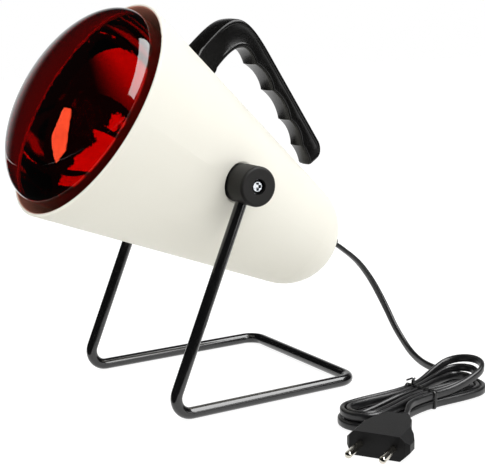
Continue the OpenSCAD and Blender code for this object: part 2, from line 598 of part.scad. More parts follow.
// Outline of the bundle at the tie, as (across, height), grown by d
function tie_line(d) = let (a = -12.4 - d, b = 10.6 + d, lo = 0.85 - d, hi = 11.7 + d, c = 0.9)
    [[a + c, lo], [b - c, lo], [b, lo + c], [b, hi - c], [b - c, hi], [a + c, hi], [a, hi - c], [a, lo + c]];
module cord_tie() color(black_plastic) translate([hank_at[0], hank_at[1], 0]) rotate([0, 0, hank_yaw])
    translate([tie_u - tie_w / 2, 0, 0]) {
        rotate([90, 0, 90]) linear_extrude(height = tie_w) difference() {
            polygon(tie_line(tie_t));
            polygon(tie_line(0));
        }
        // Twisted ends
        translate([tie_w / 2, 5, 12.2]) {
            cylinder(r = 1.5, h = 2.2);
            for (a = [35, -120]) rotate([0, 0, a]) translate([0, 0, 1.2])
                rotate([0, 68, 0]) cylinder(r = 0.7, h = 6);
        }
    }

// ---- Plug ----

plug_yaw = 33;                // direction of the pins, from -Y towards +X
plug_dir = [sin(plug_yaw), -cos(plug_yaw), 0];
pin_len = 19;
pin_r = 2;
pin_gap = 18.6;
pin_root_r = 1.8;             // radius of a pin inside the body
pin_inside = 8;               // length of a pin inside the body
body_w = 35.3;
body_h = 13.7;
body_l = 36;
relief_l = 12;
// The plug's own axes: pins towards -y, their tips at y = 0, z = 0 in the pins' plane
plug_tip = tail_route[len(tail_route) - 1] + plug_dir * (pin_len + body_l + relief_l);
module at_plug() translate([plug_tip[0], plug_tip[1], body_h / 2 + 0.05]) rotate([0, 0, plug_yaw]) children();
// Half of the body's plan, as (across, distance behind the pins' face)
plan = [[15.4, 0], [body_w / 2, 2.6], [body_w / 2, 10], [15.6, 15], [12.6, 18.5], [11.4, 23], [10.4, 28],
    [7.4, 33], [6.2, body_l]];
module plug_body() color(black_plastic) at_plug() difference() {
    translate([0, pin_len, 0]) intersection() {
        rotate([-90, 0, 0]) linear_extrude(height = body_l) polygon([[body_w / 2, 2.3], [12.8, body_h / 2],
            [-12.8, body_h / 2], [-body_w / 2, 2.3], [-body_w / 2, -2.3], [-12.8, -body_h / 2],
            [12.8, -body_h / 2], [body_w / 2, -2.3]]);
        translate([0, 0, -body_h]) linear_extrude(height = 2 * body_h)
            polygon(concat(plan, [for (i = [len(plan) - 1:-1:0]) [-plan[i][0], plan[i][1]]]));
    }
    for (s = [-1, 1]) translate([s * pin_gap / 2, pin_len - 1, 0]) rotate([-90, 0, 0])
        cylinder(r = pin_root_r, h = pin_inside + 1);
}
module plug_pins() color(steel) at_plug() for (s = [-1, 1]) translate([s * pin_gap / 2, 0, 0])
    rotate([-90, 0, 0]) {
        translate([0, 0, pin_r]) cylinder(r = pin_r, h = pin_len - seat_gap - pin_r);
        translate([0, 0, pin_r]) sphere(r = pin_r);
        translate([0, 0, pin_len - 1]) cylinder(r = pin_root_r, h = pin_inside + 1);
    }
relief_ribs = 4;
relief_pitch = relief_l / relief_ribs;
module plug_strain_relief() color(black_plastic) at_plug() translate([0, pin_len + body_l, 0])
    rotate([-90, 0, 0]) {
        cylinder(r1 = 4.2, r2 = 3.2, h = relief_l);
        for (i = [0:relief_ribs - 1]) translate([0, 0, i * relief_pitch])
            cylinder(r = 5.8 - 0.5 * i, h = relief_pitch * 0.62);
    }

stand_rod();
pivot_knob_right();
pivot_knob_left();
friction_washers();
housing_shell();
pivot_spacers();
pivot_screws();
pivot_washers();
pivot_nuts();
handle_grip();
handle_plate();
handle_screws();
holder_body();
holder_screw_shell();
holder_contact();
holder_terminals();
holder_bracket();
bracket_screws();
holder_screws();
cord_bushing();
cord_inner_end();
cord_clamp();
clamp_screws();
wire_live();
wire_neutral();
bulb_tip_contact();
bulb_glass();
bulb_mirror();
bulb_cap();
bulb_insulator();
bulb_stem();
bulb_supports();
bulb_filament();
cord_run();
cord_hank();
cord_tail();
cord_tie();
plug_body();
plug_pins();
plug_strain_relief();
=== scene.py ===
"""Looks of an infrared heat therapy lamp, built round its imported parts.

Lengths in the making functions are in millimetres, on the part's own axes, and mesh_piece() turns them to
metres.
"""

import math

import bmesh
import bpy
import numpy as np
from bpy.props import FloatProperty, FloatVectorProperty, IntProperty, PointerProperty
from mathutils import Matrix, Vector


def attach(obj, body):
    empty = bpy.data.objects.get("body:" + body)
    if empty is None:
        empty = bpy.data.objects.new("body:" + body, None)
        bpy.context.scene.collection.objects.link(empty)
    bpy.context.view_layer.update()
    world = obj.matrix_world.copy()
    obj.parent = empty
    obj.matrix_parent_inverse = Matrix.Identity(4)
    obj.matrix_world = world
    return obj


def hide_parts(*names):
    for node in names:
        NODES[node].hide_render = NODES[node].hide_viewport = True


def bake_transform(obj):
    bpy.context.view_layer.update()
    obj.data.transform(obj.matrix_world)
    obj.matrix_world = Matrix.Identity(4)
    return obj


bl_info = {
    "name": "Heat Lamp Looks",
    "version": (1, 0, 0),
    "blender": (4, 5, 0),
    "location": "View3D > Sidebar > Heat Lamp",
    "description": "Builds the finishes, the cord, the bulb, the handle and the plug of a heat therapy lamp",
    "category": "Object",
}

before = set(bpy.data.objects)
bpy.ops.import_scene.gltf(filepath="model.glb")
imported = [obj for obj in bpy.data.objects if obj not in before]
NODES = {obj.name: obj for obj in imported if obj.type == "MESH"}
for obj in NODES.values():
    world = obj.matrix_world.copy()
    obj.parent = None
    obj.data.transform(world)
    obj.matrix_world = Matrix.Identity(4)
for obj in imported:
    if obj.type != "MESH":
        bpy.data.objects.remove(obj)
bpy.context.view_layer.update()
MM = 0.001


def linear(hex_colour):
    """A hex sRGB colour as linear red, green, blue and alpha."""
    parts = [int(hex_colour[i : i + 2], 16) / 255 for i in (0, 2, 4)]
    return tuple(p / 12.92 if p <= 0.04045 else ((p + 0.055) / 1.055) ** 2.4 for p in parts) + (1.0,)


# ---- The lamp's main sizes, as in the part's source ----

LAMP_TILT = 32.3
PIVOT_Y = 6.4
PIVOT_H = 134.0
AXIS_DROP = 2.0
MOUTH_R = 70.0
MOUTH_AHEAD = 86.0
REAR_R = 35.5
REAR_BACK = 76.0
AXIS_LEN = MOUTH_AHEAD + REAR_BACK
CONE_ANGLE = math.atan(MOUTH_R / AXIS_LEN) - math.asin(REAR_R / math.hypot(AXIS_LEN, MOUTH_R))
TOUCH_A = -REAR_BACK - REAR_R * math.sin(CONE_ANGLE)
CONE_SLOPE = (MOUTH_R - REAR_R * math.cos(CONE_ANGLE)) / (MOUTH_AHEAD - TOUCH_A)
# The lamp's own axes: x across, y up from the axis, z along it towards the mouth
IN_LAMP = Matrix.Translation((0, PIVOT_Y, PIVOT_H)) @ Matrix.Rotation(math.radians(90 - LAMP_TILT), 4, "X")
ON_AXIS = IN_LAMP @ Matrix.Translation((0, -AXIS_DROP, 0))


class HeatLampSizes(bpy.types.PropertyGroup):
    """Sizes that a user would change"""

    cord_width: FloatProperty(
        name="Cord width", description="Width of the flat mains cord", default=4.9 * MM, unit="LENGTH",
        precision=4
    )
    cord_thickness: FloatProperty(
        name="Cord thickness", description="Thickness of the flat cord", default=3.0 * MM, unit="LENGTH",
        precision=4
    )
    handle_edge: FloatProperty(
        name="Handle edge", description="Radius of the handle's long edges", default=1.6 * MM,
        unit="LENGTH", precision=4
    )
    handle_panel: FloatProperty(
        name="Handle panel", description="Depth of the handle's side panels", default=0.4 * MM,
        unit="LENGTH", precision=5
    )
    plug_edge: FloatProperty(
        name="Plug edge", description="Radius of the plug's moulded edges", default=0.8 * MM,
        unit="LENGTH", precision=4
    )
    glass_wall: FloatProperty(
        name="Glass wall", description="Thickness of the bulb's glass", default=1.0 * MM, unit="LENGTH",
        precision=4
    )
    relief_ribs: IntProperty(
        name="Relief ribs", description="Ribs of the plug's strain relief", default=4, min=2, max=8
    )
    filament_turns: IntProperty(
        name="Filament turns", description="Turns of the coiled filament", default=52, min=10, max=90
    )


class HeatLampFinishes(bpy.types.PropertyGroup):
    """Colours that a user would change"""

    housing: FloatVectorProperty(
        name="Housing", description="White of the moulded housing", subtype="COLOR", size=4,
        default=linear("F1EFE5")
    )
    handle: FloatVectorProperty(
        name="Handle", description="Black of the handle", subtype="COLOR", size=4, default=linear("0A0A0A")
    )
    stand: FloatVectorProperty(
        name="Stand", description="Black of the enamelled rod", subtype="COLOR", size=4,
        default=linear("0B0B0C")
    )
    glass: FloatVectorProperty(
        name="Glass", description="Ruby of the bulb's glass", subtype="COLOR", size=4,
        default=linear("D42A1E")
    )
    cord: FloatVectorProperty(
        name="Cord", description="Black of the cord and its plug", subtype="COLOR", size=4,
        default=linear("111112")
    )


# ---- Making pieces ----


def mesh_piece(name, points, faces, smooth_angle=35.0, outward=True):
    """A mesh piece from points in millimetres, shaded smooth below an edge angle in degrees."""
    mesh = bpy.data.meshes.new(name)
    mesh.from_pydata([tuple(c * MM for c in p) for p in points], [], faces)
    work = bmesh.new()
    work.from_mesh(mesh)
    bmesh.ops.remove_doubles(work, verts=work.verts, dist=1e-7)
    if outward:
        bmesh.ops.recalc_face_normals(work, faces=work.faces)
    work.to_mesh(mesh)
    work.free()
    piece = bpy.data.objects.new(name, mesh)
    bpy.context.scene.collection.objects.link(piece)
    smoothed(piece, smooth_angle)
    return piece


def smoothed(piece, smooth_angle):
    """Shades a piece smooth, and marks the edges that are sharper than an angle in degrees."""
    mesh = piece.data
    mesh.shade_smooth()
    work = bmesh.new()
    work.from_mesh(mesh)
    limit = math.radians(smooth_angle)
    for edge in work.edges:
        edge.smooth = len(edge.link_faces) == 2 and edge.calc_face_angle(0) < limit
    work.to_mesh(mesh)
    work.free()


def skin(rings):
    """Points and faces of a closed skin over rings of equal length."""
    count, last = len(rings[0]), len(rings) - 1
    faces = [tuple(range(count - 1, -1, -1)), tuple(last * count + k for k in range(count))]
    for i in range(last):
        for k in range(count):
            j = (k + 1) % count
            faces.append((i * count + k, i * count + j, (i + 1) * count + j, (i + 1) * count + k))
    return [p for ring in rings for p in ring], faces


def lathe(name, outline, place, segments=160, smooth_angle=35.0):
    """Turns a closed outline of (radius, height) round z and places it; radius 0 makes a pole."""
    points, faces, starts = [], [], []
    for radius, height in outline:
        starts.append(len(points))
        if radius < 1e-6:
            points.append(place @ Vector((0, 0, height)))
        else:
            for k in range(segments):
                a = 2 * math.pi * k / segments
                points.append(place @ Vector((radius * math.cos(a), radius * math.sin(a), height)))
    for i, (radius, _) in enumerate(outline):
        j = (i + 1) % len(outline)
        here, there = starts[i], starts[j]
        poles = radius < 1e-6, outline[j][0] < 1e-6
        if all(poles):
            continue
        for k in range(segments):
            n = (k + 1) % segments
            if poles[0]:
                faces.append((here, there + n, there + k))
            elif poles[1]:
                faces.append((here + k, here + n, there))
            else:
                faces.append((here + k, here + n, there + n, there + k))
    return mesh_piece(name, points, faces, smooth_angle)


def finished(piece, material, slot, body, *nodes):
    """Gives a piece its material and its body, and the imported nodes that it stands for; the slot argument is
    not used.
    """
    piece.data.materials.clear()
    piece.data.materials.append(material)
    if body:
        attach(piece, body)
    if nodes:
        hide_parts(*nodes)
    return piece


def dress(material, *nodes):
    """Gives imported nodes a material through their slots."""
    for name in nodes:
        for held in NODES[name].material_slots:
            held.material = material


def unit(v):
    return v / np.linalg.norm(v)


def bezier(p, t):
    p = np.array(p, float)
    return (1 - t) ** 3 * p[0] + 3 * t * (1 - t) ** 2 * p[1] + 3 * t * t * (1 - t) * p[2] + t**3 * p[3]


def ramp(x):
    u = min(max(x, 0.0), 1.0)
    return u * u * (3 - 2 * u)


# ---- Materials ----

MIX_FACTOR, MIX_A, MIX_B = 0, 6, 7  # sockets of a colour Mix node
MIX_OUT = 2
# Where the painted red-brown shade and red light inside the housing come in: depths under its outside, and
# places along the axis
PAINTED_SHADE_UNDER = 1.5, 2.1
PAINTED_SHADE_AHEAD = 20, 50


def add(tree, kind, fields=(), inputs=()):
    """Adds a node to a tree: its fields, then its inputs, each a value or the socket that feeds it."""
    made = tree.nodes.new(kind)
    for key, value in dict(fields).items():
        setattr(made, key, value)
    for key, value in dict(inputs).items():
        if isinstance(value, bpy.types.NodeSocket):
            tree.links.new(value, made.inputs[key])
        else:
            made.inputs[key].default_value = value
    return made


def calculated(tree, operation, *values):
    """The socket of a Math node over some values."""
    return add(tree, "ShaderNodeMath", {"operation": operation}, enumerate(values)).outputs[0]


def far_off(tree, across, up):
    """The socket of a point's distance from the middle, from its two coordinates."""
    squares = [calculated(tree, "POWER", side, 2.0) for side in (across, up)]
    return calculated(tree, "SQRT", calculated(tree, "ADD", *squares))


def mapped(tree, value, start, end, low, high):
    """The socket of a smooth step of a value, from one number to another."""
    inputs = {"Value": value, "From Min": start, "From Max": end, "To Min": low, "To Max": high}
    return add(tree, "ShaderNodeMapRange", {"interpolation_type": "SMOOTHSTEP"}, inputs).outputs[0]


def surface(name, colour, shade, roughness, grain_mm, relief_mm, cloud_mm=45.0, **shader_values):
    """A material with a fine grain and a slow clouding, both sized in millimetres.

    The grain drives the relief and the roughness, and the clouding drives the tone between two colours. A
    colour is a hex value or a user's own.
    """
    material = bpy.data.materials.new(name)
    material.use_nodes = True
    tree = material.node_tree
    shader = tree.nodes["Principled BSDF"]
    where = add(tree, "ShaderNodeTexCoord").outputs["Object"]
    fine = {"Vector": where, "Scale": 1 / (grain_mm * MM), "Detail": 3.0, "Roughness": 0.6}
    grain = add(tree, "ShaderNodeTexNoise", inputs=fine).outputs["Fac"]
    slow = {"Vector": where, "Scale": 1 / (cloud_mm * MM), "Detail": 2.0}
    cloud = add(tree, "ShaderNodeTexNoise", inputs=slow).outputs["Fac"]
    tones = [linear(c) if isinstance(c, str) else tuple(c) for c in (colour, shade)]
    mixed = {MIX_FACTOR: cloud, MIX_A: tones[0], MIX_B: tones[1]}
    tone = add(tree, "ShaderNodeMix", {"data_type": "RGBA"}, mixed)
    polish = {"Value": grain, "To Min": roughness[0], "To Max": roughness[1]}
    rough = add(tree, "ShaderNodeMapRange", inputs=polish)
    relief = {"Height": grain, "Distance": relief_mm * MM, "Strength": 1.0}
    bump = add(tree, "ShaderNodeBump", inputs=relief)
    tree.links.new(tone.outputs[MIX_OUT], shader.inputs["Base Color"])
    tree.links.new(rough.outputs[0], shader.inputs["Roughness"])
    tree.links.new(bump.outputs[0], shader.inputs["Normal"])
    for key, value in shader_values.items():
        shader.inputs[key.replace("_", " ")].default_value = value
    return material


def finishes():
    """All the lamp's materials by slot."""
    tint = bpy.context.scene.heat_lamp_finishes
    return {
        # Polypropylene, injection moulded with a satin texture: warm white, soft wide highlights
        "white_plastic": surface(
            "polypropylene_moulded_white", tint.housing, "ECE9DD", (0.44, 0.54), 0.9, 0.012, cloud_mm=70.0,
            Specular_IOR_Level=0.35,
        ),
        # Glass-filled nylon, moulded in a spark-eroded tool: a fine matt grain that greys the black
        "black_plastic": surface(
            "nylon_moulded_black", "11100F", "191715", (0.5, 0.64), 0.45, 0.05, cloud_mm=6.0,
            Specular_IOR_Level=0.32,
        ),
        # Phenolic, compression moulded: nearly black, satin, bright lines only along its edges
        "handle_plastic": surface(
            "phenolic_moulded_black", tint.handle, "11100F", (0.2, 0.28), 0.5, 0.003, cloud_mm=18.0,
            Specular_IOR_Level=0.3,
        ),
        # Stove enamel on steel rod, dipped: deep gloss with a slight orange peel
        "rod_enamel": surface(
            "stove_enamel_black", tint.stand, "111112", (0.14, 0.22), 2.2, 0.02, Coat_Weight=0.5,
            Coat_Roughness=0.08
        ),
        # Zinc-plated steel, barrel finished: cold grey with a fine tumbled haze
        "zinc_steel": surface(
            "zinc_plated_steel", "C9CCD0", "B4B8BC", (0.2, 0.34), 0.35, 0.006, cloud_mm=3.0, Metallic=1.0
        ),
        # Steatite, pressed and glazed: cream, glassy over a slightly uneven body
        "porcelain": surface(
            "steatite_glazed", "ECE7DC", "E0D8C8", (0.1, 0.2), 3.0, 0.03, Coat_Weight=0.6, Coat_Roughness=0.05
        ),
        # Nickel-plated brass, turned: bright, with rings too fine to see drawn as a faint haze along it
        "nickel_brass": surface(
            "nickel_plated_brass", "DAD6CC", "C6C1B4", (0.12, 0.24), 0.5, 0.004, cloud_mm=4.0, Metallic=1.0
        ),
        # Brass, stamped and turned: warm yellow, a little dulled
        "brass": surface(
            "brass_turned", "C9A24B", "A9823A", (0.2, 0.36), 0.4, 0.006, cloud_mm=3.0, Metallic=1.0
        ),
        # Soft PVC, extruded: satin black with slow ripples along the cord
        "cord_pvc": surface(
            "pvc_extruded_black", tint.cord, "1B1B1C", (0.26, 0.36), 1.6, 0.03, cloud_mm=9.0
        ),
        # PVC-coated wire, extruded: black and shinier than the cord
        "tie_plastic": surface("pvc_coated_wire", "121212", "1C1C1C", (0.2, 0.32), 0.8, 0.03, cloud_mm=4.0),
        # Soft PVC, overmoulded: matt black with a fine eroded grain
        "plug_pvc": surface(
            "pvc_overmoulded_black", "0B0B0C", "111112", (0.42, 0.54), 0.4, 0.03, cloud_mm=8.0,
            Specular_IOR_Level=0.2
        ),
        # Silicone cores, extruded: matt brown and blue
        "wire_brown": surface(
            "silicone_core_brown", "6B4226", "573319", (0.4, 0.55), 0.7, 0.02, cloud_mm=5.0
        ),
        "wire_blue": surface("silicone_core_blue", "2F5DA8", "264D8E", (0.4, 0.55), 0.7, 0.02, cloud_mm=5.0),
        # Selenium ruby glass, blown and polished: deep red, clear, with slow waves from blowing
        "ruby_glass": surface(
            "selenium_ruby_glass", tint.glass, "C8231A", (0.0, 0.015), 14.0, 0.05, cloud_mm=35.0,
            Transmission_Weight=1.0, IOR=1.5,
        ),
        # Aluminium, vapour deposited inside the bulb: a mirror with the glass's own slow waves
        "mirror_coat": surface(
            "aluminium_vapour_coat", "E4E4E6", "D6D6D9", (0.01, 0.03), 12.0, 0.06, cloud_mm=20.0, Metallic=1.0
        ),
        # Aluminium, pressed thin: pale grey, brushed round by the rolls
        "cap_metal": surface(
            "aluminium_pressed", "D3D4D6", "BEBFC2", (0.22, 0.38), 0.5, 0.01, cloud_mm=5.0, Metallic=1.0
        ),
        # Tin solder, dipped: soft grey with shallow dimples
        "solder": surface(
            "tin_solder", "B9BBBD", "9FA2A5", (0.25, 0.4), 1.2, 0.08, cloud_mm=2.5, Metallic=1.0
        ),
        # Vitrite, pressed black glass: glossy, full of fine bubbles
        "black_glass": surface("vitrite_pressed", "101012", "1B1A20", (0.08, 0.2), 0.8, 0.03, cloud_mm=3.0),
        # Lead glass, drawn and pinched: clear, with slow waves
        "clear_glass": surface(
            "lead_glass_drawn", "F2F6F5", "E9F0EE", (0.0, 0.03), 3.0, 0.03, cloud_mm=8.0,
            Transmission_Weight=1.0, IOR=1.55,
        ),
        # Molybdenum, drawn wire: dark grey metal with a dull skin
        "molybdenum": surface(
            "molybdenum_drawn", "8B8D90", "737578", (0.3, 0.45), 0.4, 0.006, cloud_mm=2.0, Metallic=1.0
        ),
        # Tungsten, drawn and coiled: dark grey metal, aged a little darker
        "tungsten": surface(
            "tungsten_drawn", "7C7A78", "5E5C5A", (0.3, 0.45), 0.3, 0.005, cloud_mm=2.0, Metallic=1.0
        ),
    }


def paint_red_shade_inside(material):
    """Paints red-brown shade and red light onto the inside of the housing at its mouth, which only light
    through the ruby glass would reach.
    """
    tree = material.node_tree
    shader = tree.nodes["Principled BSDF"]
    where = add(tree, "ShaderNodeTexCoord").outputs["Object"]
    on_axis = {"Vector": where, "Location": ON_AXIS.translation * MM, "Rotation": ON_AXIS.to_euler()}
    placed = add(tree, "ShaderNodeMapping", {"vector_type": "TEXTURE"}, on_axis).outputs[0]
    x, y, ahead = add(tree, "ShaderNodeSeparateXYZ", inputs={0: placed}).outputs
    radius = far_off(tree, x, y)
    cone = calculated(tree, "MULTIPLY_ADD", ahead, CONE_SLOPE, (MOUTH_R - CONE_SLOPE * MOUTH_AHEAD) * MM)
    under_skin = calculated(tree, "SUBTRACT", cone, radius)
    inside = mapped(tree, under_skin, PAINTED_SHADE_UNDER[0] * MM, PAINTED_SHADE_UNDER[1] * MM, 0.0, 1.0)
    painted_shade_near_mouth = mapped(tree, ahead, PAINTED_SHADE_AHEAD[0] * MM, PAINTED_SHADE_AHEAD[1] * MM, 0.0, 1.0)
    share = calculated(tree, "MULTIPLY", inside, painted_shade_near_mouth)
    white = shader.inputs["Base Color"].links[0].from_socket
    # F2A896 multiplied into the white is painted red-brown shade and red light, not the plastic's own colour
    mixed = {MIX_FACTOR: share, MIX_A: white, MIX_B: linear("F2A896")}
    tint = add(tree, "ShaderNodeMix", {"data_type": "RGBA", "blend_type": "MULTIPLY"}, mixed)
    tree.links.new(tint.outputs[MIX_OUT], shader.inputs["Base Color"])


def finish_of(slot):
    """The material of a slot; the materials are made on the first call."""
    kept = bpy.context.scene.get("heat_lamp_materials")
    if kept is None:
        kept = {key: material.name for key, material in finishes().items()}
        bpy.context.scene["heat_lamp_materials"] = kept
    return bpy.data.materials[kept[slot]]


# ---- Stage ----

LENS_MM = 89.47
SHIFT_Y = 0.02502
# The camera's place, and its axes as found from the photograph
CAMERA_AT = (645.07, -353.39, 238.65)
CAMERA_BACK = Vector((0.8378483, -0.5083287, 0.1990279))
CAMERA_RIGHT = Vector((0.5211561, 0.8533393, -0.0144350))
# The tall softbox: its direction and distance from the bulb, its size, and the way that its long side runs
KEY_WAY = (0.537, 0.503, 0.678)
KEY_FAR = 1000
KEY_SIZE = (650, 1330)
KEY_ALONG = (-0.84, 0.325, 0.445)
KEY_WATTS = 5.8
KEY_GLOW = 8.4  # of the softbox's face, as glossy surfaces mirror it
WORLD_LIGHT = 0.6
FLOOR_HALF = 3000.0
FLOOR_GLOW = 0.88
DOME_AT = (0, -75, 185)
CARD_FAR = 900
# The bright shapes that the reflector shows, as azimuth and height in degrees from the dome
STRIP_WAYS = ((-11, 10), (-19, 13), (-9, 41), (3, 59), (48, 69), (11, 39))
STRIP_GLOW = 320.0
STRIP_COLOUR = (0.0125, 1, 1, 1)  # a cyan gel, which the ruby glass turns to orange
CRESCENT_INNER = ((-33, 30), (-30.5, 40), (-25, 50), (-14, 60), (0, 67), (16, 74.5), (60, 77))
CRESCENT_OUTER = ((-42, 29), (-42, 45), (-40, 56), (-34, 66), (-24, 74), (0, 82), (60, 86))
CRESCENT_GLOW = 2.0
# What the reflector shows only at its second turn
TWICE_INNER = ((-26, 1), (-21, 18), (-16, 36), (-17, 43))
TWICE_OUTER = ((-45, 0), (-42, 25), (-38, 36), (-36, 43))
TWICE_GLOW = 2.4
SPOT_WAYS = ((-40.5, 22.5), (-45, 15), (-49, 8.3), (-55, 1), (-60, 6), (-54, 16), (-44, 28))
CLOTH_FAR = 1700
CLOTH_STEP = 6  # degrees from one point of the round cloth to the next
# The cloth on the table: its edge behind the lamp, its edge beside it, its reach, and its height
TABLE_CLOTH = -70, 195, 1500
TABLE_CLOTH_H = 0.3
CLOTH_GLOW = 0.012
# The lit part of the cloth behind the lamp: its azimuth, and its reach across and up in degrees
BACKDROP_AZIMUTH = 142
BACKDROP_REACH = 54, 27
BACKDROP_GLOW = 0.75
THROUGH_GLOW = 0.2  # of the set behind the dome's edge, as it shows straight through the glass
# The table in the reflector: azimuths where it is dark and where it is lit, and its glow there
TABLE_DARK, TABLE_LIT, TABLE_GLOW = -45, -103, 1.7
# The part of the table that shows bright at the second turn: its azimuth, half width and lower edge
PATCH_AZIMUTH, PATCH_HALF, PATCH_LOW, PATCH_TOP, PATCH_GLOW = -55, 15, -28, -12, 1.1


def facing(at, towards, long_axis):
    """Axes of a rectangle at a point that faces another: across it, along its long side, and its back."""
    back = (Vector(at) - Vector(towards)).normalized()
    up = Vector(long_axis)
    up = (up - back * up.dot(back)).normalized()
    return up.cross(back), up, back


def area_light(name, at, towards, size, watts, long_axis=(0, 0, 1)):
    """A white rectangular lamp that faces a point, in millimetres, and shows in no reflection."""
    data = bpy.data.lights.new(name, "AREA")
    data.shape = "RECTANGLE"
    data.size, data.size_y = size[0] * MM, size[1] * MM
    data.energy = watts
    light = bpy.data.objects.new(name, data)
    bpy.context.scene.collection.objects.link(light)
    turned = Matrix(facing(at, towards, long_axis)).transposed().to_4x4()
    light.matrix_world = Matrix.Translation(Vector(at) * MM) @ turned
    light.visible_camera = light.visible_glossy = light.visible_transmission = False


def card(name, points, faces, glow, mirrored=True, through_glass=True, colour=(1, 1, 1, 1)):
    """A card or cloth of the set that only reflections or the glass show, as hung round gloss black and glass.

    Its glow is a number, or a function that adds nodes to the sheet's tree and gives back a socket.
    """
    piece = mesh_piece(name, points, faces, outward=False)
    sheet = bpy.data.materials.new(name + "_sheet")
    sheet.use_nodes = True
    sheet.node_tree.nodes.clear()
    strength = glow(sheet.node_tree) if callable(glow) else glow
    tone = add(sheet.node_tree, "ShaderNodeEmission", inputs={"Color": colour, "Strength": strength})
    add(sheet.node_tree, "ShaderNodeOutputMaterial", inputs={"Surface": tone.outputs[0]})
    piece.data.materials.append(sheet)
    piece.visible_camera = piece.visible_diffuse = piece.visible_shadow = False
    piece.visible_glossy = mirrored
    piece.visible_transmission = through_glass
    return piece


def way_at(azimuth, height):
    """The direction of an azimuth and a height in degrees."""
    a, h = math.radians(azimuth), math.radians(height)
    return Vector((math.cos(a) * math.cos(h), math.sin(a) * math.cos(h), math.sin(h)))


def on_sky(azimuth, height, far):
    """A point seen from the bulb's dome at an azimuth and a height in degrees."""
    return Vector(DOME_AT) + way_at(azimuth, height) * far


def way_from_dome(tree, azimuth):
    """Sockets of the azimuth, counted from a given one, and the height at which the dome sees a point."""
    where = add(tree, "ShaderNodeTexCoord").outputs["Object"]
    from_dome = {"Vector": where, "Location": Vector(DOME_AT) * MM, "Rotation": (0, 0, math.radians(azimuth))}
    placed = add(tree, "ShaderNodeMapping", {"vector_type": "TEXTURE"}, from_dome).outputs[0]
    x, y, z = add(tree, "ShaderNodeSeparateXYZ", inputs={0: placed}).outputs
    far = add(tree, "ShaderNodeVectorMath", {"operation": "LENGTH"}, {0: placed}).outputs["Value"]
    return calculated(tree, "ARCTAN2", y, x), calculated(tree, "ARCSINE", calculated(tree, "DIVIDE", z, far))


def by_turn(tree, straight, once, later):
    """A value for light straight through the glass, off the reflector once, or off it more often."""
    path = add(tree, "ShaderNodeLightPath").outputs
    turns = path["Glossy Depth"]
    none = calculated(tree, "LESS_THAN", turns, 0.5)
    one = calculated(tree, "COMPARE", turns, 1.0, 0.5)
    through_dome_twice = calculated(tree, "GREATER_THAN", path["Transmission Depth"], 3.5)
    one = calculated(tree, "MULTIPLY", one, through_dome_twice)
    more = calculated(tree, "GREATER_THAN", turns, 1.5)
    shown = calculated(tree, "MULTIPLY", more, later)
    shown = calculated(tree, "MULTIPLY_ADD", one, once, shown)
    return calculated(tree, "MULTIPLY_ADD", none, straight, shown)


def backdrop_glow(tree):
    """The cloth is lit behind the lamp, and fades to black round the rest of the set."""
    across, height = way_from_dome(tree, BACKDROP_AZIMUTH)
    across = calculated(tree, "DIVIDE", across, math.radians(BACKDROP_REACH[0]))
    height = calculated(tree, "DIVIDE", height, math.radians(BACKDROP_REACH[1]))
    return mapped(tree, far_off(tree, across, height), 0.5, 1.0, BACKDROP_GLOW, CLOTH_GLOW)


def table_glow(tree):
    """The table in the reflector: lit on the lamp's left, dark on its right, and dim when it shows twice."""
    across, _ = way_from_dome(tree, TABLE_DARK)
    lit = mapped(tree, across, 0.0, math.radians(TABLE_LIT - TABLE_DARK), CLOTH_GLOW, TABLE_GLOW)
    aside, height = way_from_dome(tree, PATCH_AZIMUTH)
    aside = calculated(tree, "ABSOLUTE", aside)
    near = mapped(
        tree, aside, math.radians(PATCH_HALF - 4), math.radians(PATCH_HALF + 4), PATCH_GLOW, 2 * CLOTH_GLOW
    )
    high = mapped(tree, height, math.radians(PATCH_LOW - 4), math.radians(PATCH_LOW + 2), 0.05, 1.0)
    low = mapped(tree, height, math.radians(PATCH_TOP - 4), math.radians(PATCH_TOP), 1.0, 0.05)
    patch = calculated(tree, "MULTIPLY", near, calculated(tree, "MULTIPLY", high, low))
    return by_turn(tree, THROUGH_GLOW, lit, patch)


def flat_sheet(left, right, front, back, height):
    """Corners of a level rectangle."""
    return [(left, front, height), (right, front, height), (right, back, height), (left, back, height)]


